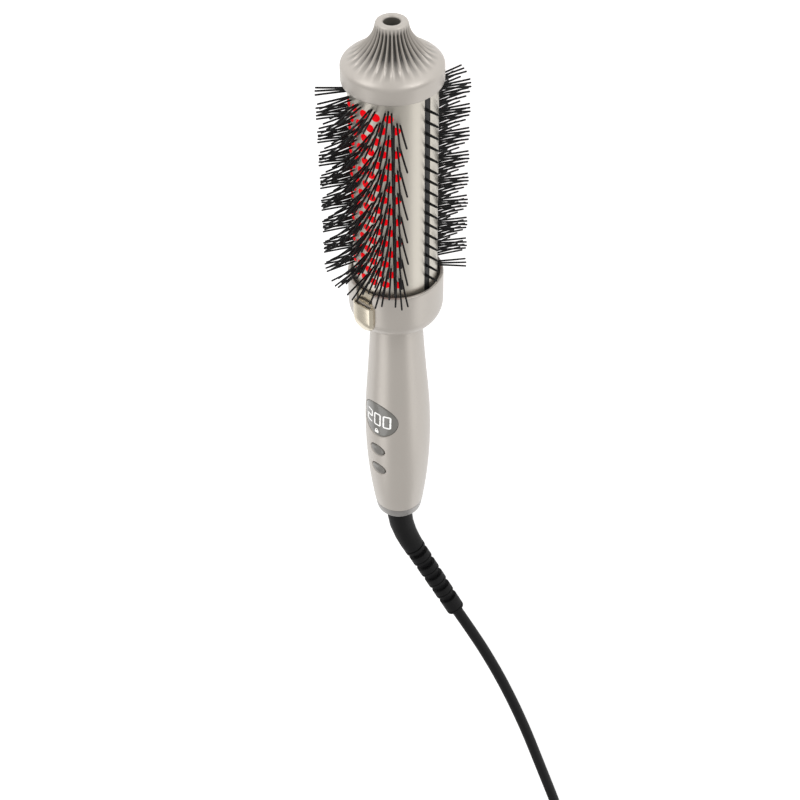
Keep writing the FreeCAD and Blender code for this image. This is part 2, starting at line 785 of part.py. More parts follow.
chassis_plate = block("chassis_plate", control, 1.0, 3.0, 23.0, 30.5, 83.5)
chassis_tongue = block("chassis_tongue", control, 1.0, 3.0, 15.0, 15, 31)
chassis_foot = cylinder("chassis_foot", 10.2, 13.2, 2.8)
chassis_posts = [
    block(f"chassis_post_{k}", control, 3.0, 6.4, 3.0, z, z + 3, shift)
    for k, (shift, z) in enumerate([(-8, 34), (8, 34), (-8, 76), (8, 76)])
] + [
    block(f"chassis_leg_{k}", control, -2.4, 1.0, 3.0, z, z + 3, shift)
    for k, (shift, z) in enumerate([(-8, 33), (8, 33), (-8, 79), (8, 79)])
]
chassis_wire_way = cylinder("chassis_wire_way", 3.5, 12, 6)
chassis_solid = joined(
    "MultiFuse", "chassis_solid", chassis_plate, [chassis_tongue, chassis_foot, *chassis_posts]
)
keep("inner_chassis", joined("Cut", "inner_chassis", chassis_solid, [chassis_wire_way]))

power_plate = block("power_plate", control, -4.0, -2.4, 21.0, 32, 83)
capacitor = block("capacitor", control, -10.5, -3.9, 9.0, 34, 48, -3.0)
triac = block("triac", control, -8.5, -3.9, 10.0, 56, 72, 2.0)
keep("power_board", joined("MultiFuse", "power_board", power_plate, [capacitor, triac]))

keep("ion_generator", block("ion_generator", control, -4.5, 4.5, 12.0, 88, 114))

# ---------------------------------------------------------------- end ring and screws

end_ring = turned(
    "handle_end_ring",
    [
        (size["ring_end_radius"], ZERO),
        (size["handle_end_radius"], size["handle_end_z"] - 0.02),
        (Size(10.3), size["handle_end_z"] - 0.02),
        (Size(10.3), Size(11)),
        (size["swivel_radius"] + size["swivel_play"], Size(11)),
        (size["swivel_radius"] + size["swivel_play"], ZERO),
    ],
)
keep("handle_end_ring", end_ring)

# ---------------------------------------------------------------- laying the brush down

doc.recompute()
arc_r, belly_z = size["handle_arc_radius"].number, size["handle_belly_z"].number
arc_centre_r = size["handle_belly_radius"].number - arc_r
up_way = radial(size["up_azimuth"].number)


def resting_tilt(place):
    """The tilt at which the table touches both a place on the head and the handle's curve."""
    reached = V(place.z - belly_z, -place.dot(up_way) - arc_centre_r, 0)
    if reached.Length <= arc_r:
        return 0.0
    return math.acos(arc_r / reached.Length) - math.atan2(reached.x, reached.y)


tilt = max(
    resting_tilt(v.Point)
    for v in pieces["bristle_rows_rear"].Shape.Vertexes
    if v.Point.dot(up_way) < -size["cap_radius"].number
)
lying_turn = (
    FreeCAD.Rotation(V(0, 1, 0), -math.degrees(tilt))
    * FreeCAD.Rotation(V(0, -1, 0), V(0, 0, -1), V(1, 0, 0), "ZXY")
    * FreeCAD.Rotation(UP, -size["up_azimuth"].number)
)


def reach(shapes, placement):
    """The box round shapes after a placement."""
    box = FreeCAD.BoundBox()
    for shape in shapes:
        moved = shape.copy()
        moved.Placement = placement * moved.Placement
        box.add(moved.optimalBoundingBox(False, False))
    return box


outer = ["cool_tip", "bristle_rows_front", "bristle_rows_rear", "handle_sleeve", "handle_end_ring"]
box = reach([pieces[name].Shape for name in outer], FreeCAD.Placement(V(), lying_turn))
lying = FreeCAD.Placement(V(-box.Center.x, -box.Center.y, -box.ZMin), lying_turn)
rest_height = -box.ZMin
print(f"tilt {math.degrees(tilt):.3f}, height of the handle's end {rest_height:.3f}")
for made in pieces.values():
    made.Placement = lying * made.Placement

# ---------------------------------------------------------------- cord, on the table


def rounded_path(points):
    """Straight runs joined by tangent arcs, each as large as its two runs allow."""
    edges, start, radii = [], points[0], []
    for before, corner, after in zip(points, points[1:], points[2:]):
        come, leave = corner - before, after - corner
        turn = come.getAngle(leave)
        cut = 0.45 * min(come.Length, leave.Length)
        radii.append(cut / math.tan(turn / 2))
        come.normalize()
        leave.normalize()
        entry, out = corner - come * cut, corner + leave * cut
        middle = (entry + out) / 2
        inward = (middle - corner).normalize()
        bow = radii[-1] / math.cos(turn / 2) - radii[-1]
        edges.append(Part.LineSegment(start, entry).toShape())
        edges.append(Part.Arc(entry, corner + inward * bow, out).toShape())
        start = out
    edges.append(Part.LineSegment(start, points[-1]).toShape())
    return Part.Wire(edges), radii


def round_tube(points, radius):
    """A round tube along a rounded path, with its volume compared with section times length."""
    path, radii = rounded_path(points)
    start = path.Edges[0]
    direction = start.tangentAt(start.FirstParameter)
    circle = Part.Wire([Part.Circle(points[0], direction, radius).toShape()])
    tube = path.makePipeShell([circle], True, False)
    share = tube.Volume / (math.pi * radius**2 * path.Length)
    print(f"tube {path.Length:.0f} long, radii {[round(r) for r in radii]}, share {share:.4f}")
    return tube


exit_place = lying.Base
boot_bend = [V(-11.5, -0.2, 10.35), V(-25.5, -4.2, 9.5), V(-39.0, -11.2, 8.85)]
boot_end = V(-78.5, -32.3, 6.9)
lead_points = [
    V(-76.0, -31.0, 7.0),
    V(-94.5, -40.8, 5.4),
    V(-113.5, -50.6, 3.9),
    V(-139.0, -62.8, 3.2),
    V(-172.0, -76.6, 3.15),
    V(-208.0, -89.3, 3.15),
    V(-246.0, -99.9, 3.15),
    V(-279.0, -106.4, 3.3),
    V(-306.0, -108.9, 3.9),
]
coil_centre = V(-308.0, -75.0, 0)
tail_points = [
    V(-347.5, -93.5, 9.3),
    V(-355.8, -75.0, 8.0),
    V(-359.5, -57.0, 7.2),
    V(-359.5, -40.5, 6.95),
]


def on_floor(points):
    """Places given from the handle's end, as seen from above it on the table."""
    return [V(p.x + exit_place.x, p.y + exit_place.y, p.z) for p in points]


def cord_boot():
    """Swivel journal with its flange, smooth bent sleeve, and a row of discs on a thin core."""
    journal = Part.makeCylinder(size["swivel_radius"].number, 12.3, V(0, 0, -1.0))
    flange = Part.makeCylinder(8.0, 1.4, V(0, 0, 11.3))
    swivel = journal.fuse(flange)
    swivel.Placement = lying
    smooth_r = size["boot_radius"].number
    start = lying.multVec(V(0, 0, -0.5))
    bend = on_floor(boot_bend)
    end = on_floor([boot_end])[0]
    sleeve = round_tube([start, *bend], smooth_r)
    way = end - bend[-1]
    length = way.Length
    way.normalize()
    core = Part.makeCylinder(4.2, length, bend[-1], way)
    first, pitch, thick = 4.2, 8.3, 5.2
    discs = [
        Part.makeCylinder(6.3 - 0.06 * k, thick, bend[-1] + way * (first - 1.7 + pitch * k), way)
        for k in range(5)
    ]
    return swivel.fuse([sleeve, core, *discs]).removeSplitter()


def cord_coil():
    """The outer shape of the cord's turns: a flat ring with rounded shoulders."""
    turn, cable = size["coil_middle_radius"].number, size["cable_radius"].number
    half, height = 3.1 * cable + cable, 12.4
    low = 0.8
    corners = [
        V(turn - half, 0, low),
        V(turn + half, 0, low),
        V(turn + half, 0, low + height * 0.55),
        V(turn + half - cable, 0, low + height),
        V(turn - half + cable, 0, low + height),
        V(turn - half, 0, low + height * 0.55),
    ]
    ring = Part.Face(Part.makePolygon([*corners, corners[0]])).revolve(V(), UP, 360)
    ring.translate(on_floor([coil_centre])[0])
    return ring


def cord_tie():
    """A band round the turns, on the side away from the plug."""
    turn, cable = size["coil_middle_radius"].number, size["cable_radius"].number
    half = 4.1 * cable
    outer = Part.makeBox(2 * half + 2.0, 9, 14.2, V(turn - half - 1.0, -4.5, 0.0))
    inner = Part.makeBox(2 * half + 0.2, 9, 12.6, V(turn - half - 0.1, -4.5, 0.75))
    band = outer.cut(inner)
    band.rotate(V(), UP, -25)
    band.translate(on_floor([coil_centre])[0])
    return band


plug_front = V(-359.5, -1.0, 0)


def place_plug(made):
    """Turns a piece of the plug from +X to +Y, so that its pins point away, and lays it down."""
    made.rotate(V(), UP, 90)
    made.translate(on_floor([plug_front])[0])
    return made


def plug_body():
    """A flat two-pin plug, drawn with its face towards +X: its tail meets the cord."""
    half_face, half_thick, middle = 17.6, 6.85, 6.95

    def section(x, half, thick):
        corners = [
            V(x, -half + thick * 0.6, middle - thick),
            V(x, half - thick * 0.6, middle - thick),
            V(x, half, middle),
            V(x, half - thick * 0.6, middle + thick),
            V(x, -half + thick * 0.6, middle + thick),
            V(x, -half, middle),
        ]
        return Part.makePolygon([*corners, corners[0]])

    sections = [
        section(0, half_face, half_thick),
        section(-9, half_face, half_thick),
        section(-24, 10.5, half_thick),
        section(-36, 6.2, 5.6),
    ]
    shell = Part.makeLoft(sections, True, True)
    tail = Part.makeCone(5.0, 4.0, 8.0, V(-35.5, 0, middle), V(-1, 0, 0))
    return place_plug(shell.fuse(tail).removeSplitter())


def plug_pins():
    """Two round pins, each with a slimmer neck in the plug and a rounded end."""
    pins = []
    for side in (-9.3, 9.3):
        neck = Part.makeCylinder(1.4, 1.4, V(-1.0, side, 6.95), V(1, 0, 0))
        pin = Part.makeCylinder(2.0, 16.8, V(0.4, side, 6.95), V(1, 0, 0))
        nose = Part.makeCone(2.0, 1.3, 0.8, V(17.2, side, 6.95), V(1, 0, 0))
        pins.append(neck.fuse([pin, nose]).removeSplitter())
    return place_plug(Part.makeCompound(pins))


cable = size["cable_radius"].number
keep_shape("cord_boot", cord_boot(), on_table)
keep_shape("power_cord", round_tube(on_floor(lead_points), cable), on_table)
keep_shape("cord_coil", cord_coil(), on_table)
keep_shape("plug_lead", round_tube(on_floor(tail_points), cable), on_table)
keep_shape("cord_tie", cord_tie(), on_table)
keep_shape("plug_body", plug_body(), on_table)
keep_shape("plug_pins", plug_pins(), on_table)

# ---------------------------------------------------------------- checks and files

doc.recompute()
for made in doc.Objects:
    if {"Invalid", "Error"} & set(made.State):
        raise RuntimeError(f"{made.Name} failed: {made.State}")
os.makedirs("parts", exist_ok=True)
for name, made in {**pieces, **on_table}.items():
    shape = made.Shape
    if shape.isNull() or not shape.isValid() or not shape.Solids:
        raise RuntimeError(f"{name} has no valid solid")
    shape.exportStep(f"parts/{name}.step")
    print(f"{name}: {len(shape.Solids)} solid(s), {shape.Volume / 1000:.2f} cm3")
button_way = lying_turn.multVec(-radial(control))
print("exit", exit_place, "axis", lying_turn.multVec(UP), "button way", button_way)
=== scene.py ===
"""Looks of a heated round styling brush: finishes, shells, bristles, cord, plug and stage.

Meshes are drawn in millimetres in the brush's own frame: +Z runs from the end ring to the
tip, and azimuth 0 faces -Y and grows towards +X. LYING then lays them on the table.
"""

import math
import random

import bmesh
import bpy
from bpy.props import FloatProperty, FloatVectorProperty, IntProperty, PointerProperty
from mathutils import Matrix, Vector


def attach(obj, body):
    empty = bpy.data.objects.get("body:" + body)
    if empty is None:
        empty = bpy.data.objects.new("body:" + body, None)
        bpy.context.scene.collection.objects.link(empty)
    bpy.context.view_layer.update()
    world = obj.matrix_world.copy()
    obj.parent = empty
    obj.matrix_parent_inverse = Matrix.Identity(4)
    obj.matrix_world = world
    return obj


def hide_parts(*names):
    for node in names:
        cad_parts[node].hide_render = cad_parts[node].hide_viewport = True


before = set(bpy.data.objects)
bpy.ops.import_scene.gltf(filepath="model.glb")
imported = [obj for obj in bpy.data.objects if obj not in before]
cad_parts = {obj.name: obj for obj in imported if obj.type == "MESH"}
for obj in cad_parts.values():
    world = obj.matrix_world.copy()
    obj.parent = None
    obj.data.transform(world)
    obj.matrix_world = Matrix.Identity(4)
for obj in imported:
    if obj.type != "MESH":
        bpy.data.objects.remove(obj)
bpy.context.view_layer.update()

bl_info = {
    "name": "Heated styling brush",
    "version": (1, 0, 0),
    "blender": (4, 5, 0),
    "location": "View3D > Sidebar > Brush",
    "description": "Builds the looks of a heated round styling brush on its packed frame",
    "category": "Object",
}

MM = 0.001
X, Y, Z = Vector((1, 0, 0)), Vector((0, 1, 0)), Vector((0, 0, 1))

# ---- frame of the brush

LONG_AXIS = Vector((0.991989, 0.0, 0.126328))
UP_FACE = Vector((-0.126328, 0.0, 0.991989))
UP_AZIMUTH = math.radians(-10.85)
HANDLE_END = Vector((-0.140458, 0.0, 0.011719))
CONTROL_AZIMUTH = -41.5
COMB_AZIMUTHS = (48.0, 228.0)
FIELD_AZIMUTHS = (-43.0, 137.0)


def axes_matrix(x, y, z, place):
    """The matrix that has these axes and this place."""
    made = Matrix((x, y, z)).transposed().to_4x4()
    made.translation = place
    return made


LYING = axes_matrix(
    math.sin(UP_AZIMUTH) * UP_FACE - math.cos(UP_AZIMUTH) * Y,
    -math.cos(UP_AZIMUTH) * UP_FACE - math.sin(UP_AZIMUTH) * Y,
    LONG_AXIS, HANDLE_END,
)


def polar(azimuth, radius, height=0.0):
    """A place in millimetres from an azimuth in degrees, a radius and a height."""
    turn = math.radians(azimuth)
    return Vector((math.sin(turn) * radius, -math.cos(turn) * radius, height))


def beside(azimuth, across, out, height):
    """A place sideways and outwards of an azimuth, and up."""
    return polar(azimuth, out, height) + polar(azimuth + 90, across)


# ---- sizes and colours


def length(name, description, default):
    """A length property in metres."""
    return FloatProperty(name=name, description=description, default=default, unit="LENGTH")


def colour(name, description, default):
    """A linear colour property."""
    return FloatVectorProperty(name=name, description=description, default=default, size=3,
                               subtype="COLOR", min=0.0, max=1.0)


class HeadSizes(bpy.types.PropertyGroup):
    """Sizes of the heated head."""

    rib_count: IntProperty(name="Ribs", description="Ribs round the tip", default=28, min=8)
    cap_radius: length("Cap radius", "Straight wall of the cap", 0.02145)
    barrel_radius: length("Barrel radius", "Outside of the heated barrel", 0.019)
    bristle_reach: length("Bristle reach", "Circle of the bristle tips", 0.03235)
    bristle_thickness: length("Bristle thickness", "Bristle at its root", 0.0009)
    window_radius: length("Window radius", "Infrared window", 0.0019)
    collar_radius: length("Collar radius", "Outside of the collar", 0.0219)


class HandleSizes(bpy.types.PropertyGroup):
    """Sizes of the handle and its controls."""

    belly_radius: length("Belly radius", "Widest place of the handle", 0.0162)
    neck_radius: length("Neck radius", "Handle under the collar", 0.012)
    lens_radius: length("Lens radius", "Display window", 0.0103)
    button_half_width: length("Button half width", "Button across the handle", 0.00415)
    button_half_height: length("Button half height", "Button along the handle", 0.0032)


class CordSizes(bpy.types.PropertyGroup):
    """Sizes of the mains cord."""

    cord_length: length("Cord length", "From the handle to the plug", 1.8)
    cord_diameter: length("Cord diameter", "Outside of the sheath", 0.0062)


class Finishes(bpy.types.PropertyGroup):
    """Colours of the brush."""

    shell: colour("Shell", "Warm grey pearl plastic", (0.54, 0.503, 0.462))
    barrel: colour("Barrel", "Champagne metal of the barrel", (0.56, 0.527, 0.468))
    nylon: colour("Nylon", "Bristles and comb teeth", (0.009, 0.009, 0.0095))
    window: colour("Window", "Infrared glow", (1.0, 0.0, 0.006))
    plating: colour("Plating", "Pale gold plating of the ion outlet", (0.66, 0.60, 0.49))
    rubber: colour("Rubber", "Cord, strain relief and plug", (0.008, 0.008, 0.0085))


# ---- shader expressions


class Signal:
    """One output socket of a material; arithmetic on it adds Math nodes."""

    def __init__(self, finish, socket):
        self.finish, self.socket = finish, socket

    def math(self, operation, *values):
        """A Math node on signals and numbers."""
        settings = {"operation": operation}
        return self.finish.node("ShaderNodeMath", settings, dict(enumerate(values)))

    def __add__(self, other):
        return self.math("ADD", self, other)

    def __sub__(self, other):
        return self.math("SUBTRACT", self, other)

    def __rsub__(self, other):
        return self.math("SUBTRACT", other, self)

    def __mul__(self, other):
        return self.math("MULTIPLY", self, other)

    __radd__, __rmul__ = __add__, __mul__

    def clamped(self):
        """The value, held between 0 and 1."""
        return self.finish.node("ShaderNodeClamp", {}, {"Value": self})

    def above(self, level, softness):
        """0 below a level and 1 above it, over a soft step."""
        return ((self - (level - softness / 2)) * (1 / softness)).clamped()


class Finish:
    """A procedural material or world, written as expressions."""

    def __init__(self, name, blocks=None):
        self.block = (bpy.data.materials if blocks is None else blocks).new(name)
        self.block.use_nodes = True
        self.tree = self.block.node_tree
        self.tree.nodes.clear()

    def node(self, kind, settings=None, sockets=None, output=0):
        """Adds a node: settings first, then values or links of its sockets."""
        made = self.tree.nodes.new(kind)
        for key, value in (settings or {}).items():
            setattr(made, key, value)
        for key, value in (sockets or {}).items():
            by_name = (socket for socket in made.inputs if socket.enabled and socket.name == key)
            self.feed(made.inputs[key] if isinstance(key, int) else next(by_name), value)
        return Signal(self, made.outputs[output]) if made.outputs else None

    def feed(self, socket, value):
        """Links a signal to a socket, or sets a plain value on it."""
        if isinstance(value, Signal):
            self.tree.links.new(value.socket, socket)
        elif socket.type == "RGBA" and len(value) == 3:
            socket.default_value = (*value, 1)
        else:
            socket.default_value = value

    @property
    def place(self):
        """Object coordinates."""
        return self.node("ShaderNodeTexCoord", output="Object")

    @property
    def own_place(self):
        """Coordinates along the lying brush's own axes, from the middle of its end."""
        return self.node("ShaderNodeMapping", {"vector_type": "TEXTURE"}, {
            "Vector": self.place, "Location": LYING.to_translation(),
            "Rotation": LYING.to_euler(),
        })

    def blend(self, mask, first, second):
        """A colour between two colours."""
        return self.node("ShaderNodeMix", {"data_type": "RGBA"},
                         {"Factor": mask, "A": first, "B": second}, output=2)

    def tones(self, mask, tint, low, high):
        """A tint that goes from one share of its brightness to another."""
        return self.blend(mask, shade(tint, low), shade(tint, high))

    def noise(self, scale, detail=2.0, roughness=0.5, vector=None):
        """Noise in object space, or along another vector."""
        return self.node("ShaderNodeTexNoise", {}, {
            "Vector": vector or self.place, "Scale": scale, "Detail": detail,
            "Roughness": roughness,
        })

    def bump(self, height, strength, distance):
        """A normal from a height field."""
        return self.node("ShaderNodeBump", {},
                         {"Height": height, "Strength": strength, "Distance": distance})

    def coated(self, **sockets):
        """Closes the material with one Principled shader, and returns it."""
        return self.close(self.node("ShaderNodeBsdfPrincipled", {}, {
            key.replace("_", " ").title().replace("Ior", "IOR"): value
            for key, value in sockets.items()
        }))

    def close(self, shader, kind="ShaderNodeOutputMaterial"):
        """Ends the tree in its output, and returns the material or world."""
        self.node(kind, {}, {"Surface": shader})
        return self.block


def shade(tint, share):
    """A colour made lighter or darker by a share."""
    return tuple(min(1.0, channel * share) for channel in tint)


def pearl_plastic(name, tint, roughness=0.36, ribs=0):
    """Moulded plastic under a satin pearl lacquer: fine flakes, soft clouds, orange peel. With
    ribs, painted shade darkens the grooves between them.
    """
    finish = Finish(name)
    flakes, clouds = finish.noise(5200.0, 1.0), finish.noise(26.0, 3.0)
    base = finish.tones(flakes * 0.45 + clouds * 0.55, tint, 0.93, 1.06)
    if ribs:
        # painted shade: the grooves between the ribs are darkened almost to black
        base = finish.blend(painted_groove_shade(finish, ribs) * 0.95, base, shade(tint, 0.04))
    return finish.coated(
        base_color=base,
        roughness=roughness - 0.05 + flakes * 0.07 + clouds * 0.03,
        metallic=0.4,
        specular_ior_level=0.35,
        coat_weight=0.1,
        coat_roughness=0.2,
        normal=finish.bump(finish.noise(650.0), 0.06, 0.0002),
    )


def painted_groove_shade(finish, ribs):
    """Share of painted shade on the cap: 0 on its ribs and skin, 1 at the bottom of the grooves
    between them.
    """
    place = finish.own_place
    x, y, z = (
        finish.node("ShaderNodeSeparateXYZ", {}, {"Vector": place}, output=n) for n in range(3)
    )
    wave = x.math("COSINE", x.math("ARCTAN2", x, y * -1.0) * float(ribs))
    below = RIM_HEIGHT * MM - z
    fade = below.above(0.002, 0.003) * (1.0 - below.above(0.0143, 0.0050))
    return (0.5 - wave * 0.5).above(0.47, 0.5) * fade


def drawn_metal(name, tint, roughness=0.35):
    """Coated metal tube with faint drawing lines along its length."""
    finish = Finish(name)
    drawn = finish.node("ShaderNodeVectorMath", {"operation": "MULTIPLY"},
                        {0: finish.own_place, 1: (2600.0, 2600.0, 30.0)})
    lines, clouds = finish.noise(1.0, 3.0, 0.6, drawn), finish.noise(60.0)
    return finish.coated(
        base_color=finish.tones(clouds, tint, 0.95, 1.04),
        metallic=0.9,
        roughness=roughness - 0.04 + lines * 0.09 + clouds * 0.03,
        normal=finish.bump(lines, 0.05, 0.0001),
    )


def bright_plating(name, tint, roughness):
    """Polished plating with faint waviness."""
    finish = Finish(name)
    waves = finish.noise(420.0)
    return finish.coated(
        base_color=finish.tones(waves, tint, 0.96, 1.03),
        metallic=1.0,
        roughness=roughness + waves * 0.05,
        normal=finish.bump(waves, 0.06, 0.0002),
    )


def moulded_plastic(name, tint, roughness=0.42):
    """Plain moulded plastic with a fine spark-eroded grain."""
    finish = Finish(name)
    pits = finish.noise(900.0, 3.0)
    return finish.coated(
        base_color=finish.tones(finish.noise(40.0), tint, 0.88, 1.12),
        roughness=roughness - 0.05 + pits * 0.10,
        specular_ior_level=0.2,
        normal=finish.bump(pits, 0.10, 0.0002),
    )


def nylon(name, tint):
    """Drawn nylon with faint streaks."""
    finish = Finish(name)
    streaks = finish.noise(1500.0)
    return finish.coated(
        base_color=finish.tones(streaks, tint, 0.7, 1.6),
        roughness=0.45 + streaks * 0.12,
        specular_ior_level=0.2,
    )


def glowing_window(name, tint):
    """A red lens lit from behind, a little paler where the light scatters."""
    finish = Finish(name)
    haze = finish.noise(900.0, 1.0)
    return finish.coated(
        base_color=shade(tint, 0.75),
        roughness=0.3 + haze * 0.05,
        specular_ior_level=0.06,
        emission_color=finish.tones(haze, tint, 0.86, 1.0),
        emission_strength=0.48,
    )


def smoked_glass(name, tint):
    """A smoked window with a faint gradient and a polished coat."""
    finish = Finish(name)
    clouds = finish.noise(55.0)
    return finish.coated(
        base_color=finish.tones(clouds, tint, 0.9, 1.1),
        roughness=0.2 + clouds * 0.05,
        coat_weight=0.35,
        coat_roughness=0.06,
    )


def lit_segment(name, tint):
    """A white display segment, lit evenly with a trace of unevenness."""
    finish = Finish(name)
    haze = finish.noise(300.0, 1.0)
    lit = finish.tones(haze, tint, 0.94, 1.0)
    return finish.coated(base_color=lit, roughness=0.35 + haze * 0.05,
                         emission_color=lit, emission_strength=0.35)


def rubber(name, tint, roughness=0.48):
    """Matte cord sheath with a fine powdery bloom."""
    finish = Finish(name)
    bloom = finish.noise(220.0, 4.0, 0.6)
    return finish.coated(
        base_color=finish.tones(bloom, tint, 0.8, 1.35),
        roughness=roughness + bloom * 0.12,
        specular_ior_level=0.12,
        normal=finish.bump(finish.noise(2400.0, 1.0), 0.08, 0.0001),
    )


def circuit_board(name):
    """Green laminate with copper tracks under the lacquer."""
    finish = Finish(name)
    tracks = finish.node("ShaderNodeTexBrick", {"offset": 0.5}, {
        "Vector": finish.place, "Scale": 260.0, "Mortar Size": 0.03,
        "Color1": (0.01, 0.09, 0.03), "Color2": (0.012, 0.11, 0.035),
        "Mortar": (0.05, 0.22, 0.06),
    })
    return finish.coated(base_color=tracks, roughness=0.3 + finish.noise(1800.0, 1.0) * 0.12)


def ceramic(name, tint):
    """Fired heating plates, dry and speckled."""
    finish = Finish(name)
    specks = finish.noise(2600.0)
    return finish.coated(
        base_color=finish.tones(specks, tint, 0.8, 1.1),
        roughness=0.6 + specks * 0.2,
        normal=finish.bump(specks, 0.2, 0.0001),
    )


# ---- drawing meshes


class Shape:
    """Points in millimetres and faces, put together ring by ring."""

    def __init__(self):
        self.points, self.faces = [], []

    def numbered(self, rings):
        """Adds rings of points, and returns their numbers."""
        rows = []
        for points in rings:
            first = len(self.points)
            self.points.extend(points)
            rows.append(range(first, len(self.points)))
        return rows

    def skin(self, rings, capped=True):
        """Quads between neighbouring rings, with a face over the first and the last one."""
        rows = self.numbered(rings)
        for low, high in zip(rows, rows[1:]):
            for k in range(len(low)):
                after = (k + 1) % len(low)
                self.faces.append((low[k], low[after], high[after], high[k]))
        if capped:
            self.faces += [tuple(reversed(rows[0])), tuple(rows[-1])]
        return self

    def turned(self, profile, segments=160):
        """A closed profile of (radius, height) turned about the brush's axis."""
        rows = self.numbered(
            [polar(360.0 * k / segments, *place) for place in profile] for k in range(segments)
        )
        for near, far in zip(rows, [*rows[1:], rows[0]]):
            for k in range(len(profile)):
                after = (k + 1) % len(profile)
                self.faces.append((near[k], far[k], far[after], near[after]))
        return self

    def strip(self, azimuth, section, low, high):
        """A bar along the brush, with a section of (sideways, outwards) corners."""
        return self.skin([[beside(azimuth, x, out, z) for x, out in section]
                          for z in (low, high)])

    def block(self, half, near, far, low, high):
        """A box in front of the controls' azimuth."""
        section = ((-half, near), (half, near), (half, far), (-half, far))
        return self.strip(CONTROL_AZIMUTH, section, low, high)


def circle(count):
    """The cosine and sine of evenly spaced turns."""
    turns = [math.tau * k / count for k in range(count)]
    return [(math.cos(turn), math.sin(turn)) for turn in turns]


def oval(centre, across, up, wide, tall, count):
    """The points of an ellipse about a centre."""
    return [centre + across * (c * wide) + up * (s * tall) for c, s in circle(count)]


def fillet(corners, steps=5):
    """A closed outline whose corners (x, y, size) are rounded by their size."""
    outline = []
    for k, corner in enumerate(corners):
        here = Vector(corner[:2])
        if len(corner) < 3:
            outline.append(tuple(here))
            continue
        before = Vector(corners[k - 1][:2]) - here
        after = Vector(corners[(k + 1) % len(corners)][:2]) - here
        start = here + before.normalized() * min(corner[2], before.length * 0.49)
        stop = here + after.normalized() * min(corner[2], after.length * 0.49)
        for n in range(steps + 1):
            t = n / steps
            outline.append(tuple(start.lerp(here, t).lerp(here.lerp(stop, t), t)))
    return outline


def hermite(t, span, low, low_slope, high, high_slope):
    """A cubic curve between two values with their slopes, a span apart."""
    return (
        (2 * t**3 - 3 * t**2 + 1) * low + (t**3 - 2 * t**2 + t) * span * low_slope
        + (3 * t**2 - 2 * t**3) * high + (t**3 - t**2) * span * high_slope
    )


def smoothed(table, value):
    """A value on a smooth curve through a table of (place, height) rows."""
    if value <= table[0][0]:
        return table[0][1]
    for k, ((x0, y0), (x1, y1)) in enumerate(zip(table, table[1:])):
        if value <= x1:
            before, after = table[max(k - 1, 0)], table[min(k + 2, len(table) - 1)]
            return hermite((value - x0) / (x1 - x0), x1 - x0,
                           y0, (y1 - before[1]) / (x1 - before[0]),
                           y1, (after[1] - y0) / (after[0] - x0))
    return table[-1][1]


def linked(name, data):
    """A new object in the scene."""
    made = bpy.data.objects.new(name, data)
    bpy.context.scene.collection.objects.link(made)
    return made


def shape_mesh(name, shape, place=LYING):
    """A closed mesh of a shape, laid in its place on the table."""
    mesh = bpy.data.meshes.new(name)
    mesh.from_pydata([place @ (point * MM) for point in shape.points], [], shape.faces)
    work = bmesh.new()
    work.from_mesh(mesh)
    bmesh.ops.remove_doubles(work, verts=work.verts, dist=1e-7)
    bmesh.ops.recalc_face_normals(work, faces=work.faces)
    work.to_mesh(mesh)
    work.free()
    return mesh


def settle(piece, body, stands_for=()):
    """Rides a piece on its body, and hides the nodes that it stands for."""
    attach(piece, body)
    if stands_for:
        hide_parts(*stands_for)
    return piece


def add_piece(name, shape, finish, stands_for=(), sharp=32.0, body="brush",
              place=LYING):
    mesh = shape_mesh(name, shape, place)
    mesh.shade_smooth()
    mesh.set_sharp_from_angle(angle=math.radians(sharp))
    mesh.materials.append(finish)
    return settle(linked(name, mesh), body, stands_for)


def carve(piece, *shapes):
    """Cuts shapes out of a piece, and keeps the result as its mesh."""
    cutters = [linked("cutter", shape_mesh("cutter", shape)) for shape in shapes]
    for cutter in cutters:
        cut = piece.modifiers.new("cut", "BOOLEAN")
        cut.operation, cut.solver, cut.object = "DIFFERENCE", "EXACT", cutter
    bpy.context.view_layer.update()
    seen = piece.evaluated_get(bpy.context.evaluated_depsgraph_get())
    cut_mesh = bpy.data.meshes.new_from_object(seen)
    piece.modifiers.clear()
    spent = [piece.data, *(cutter.data for cutter in cutters)]
    piece.data = cut_mesh
    for cutter in cutters:
        bpy.data.objects.remove(cutter)
    for mesh in spent:
        bpy.data.meshes.remove(mesh)


def dress(finish, *nodes):
    """Gives packed nodes a finish of their own."""
    for name in nodes:
        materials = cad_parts[name].data.materials
        materials.clear()
        materials.append(finish)


# ---- camera

CAMERA_PLACE = Vector((0.0012, -0.51652, 0.57765))
CAMERA_PITCH, CAMERA_ROLL = math.radians(44.2445), math.radians(-0.79)


class BRUSH_OT_camera(bpy.types.Operator):
    """Places the camera over the handle, looking down along the brush"""

    bl_idname = "brush.camera"
    bl_label = "Camera"

    def execute(self, context):
        back = Vector((0.0, -math.cos(CAMERA_PITCH), math.sin(CAMERA_PITCH)))
        right = Matrix.Rotation(CAMERA_ROLL, 3, back) @ X
        data = bpy.data.cameras.new("camera")
        data.sensor_width, data.lens = 36.0, 65.53
        data.clip_start, data.clip_end = 0.02, 20.0
        camera = linked("camera", data)
        camera.matrix_world = LYING @ axes_matrix(right, back.cross(right), back, CAMERA_PLACE)
        context.scene.camera = camera
        return {"FINISHED"}


# ---- cord

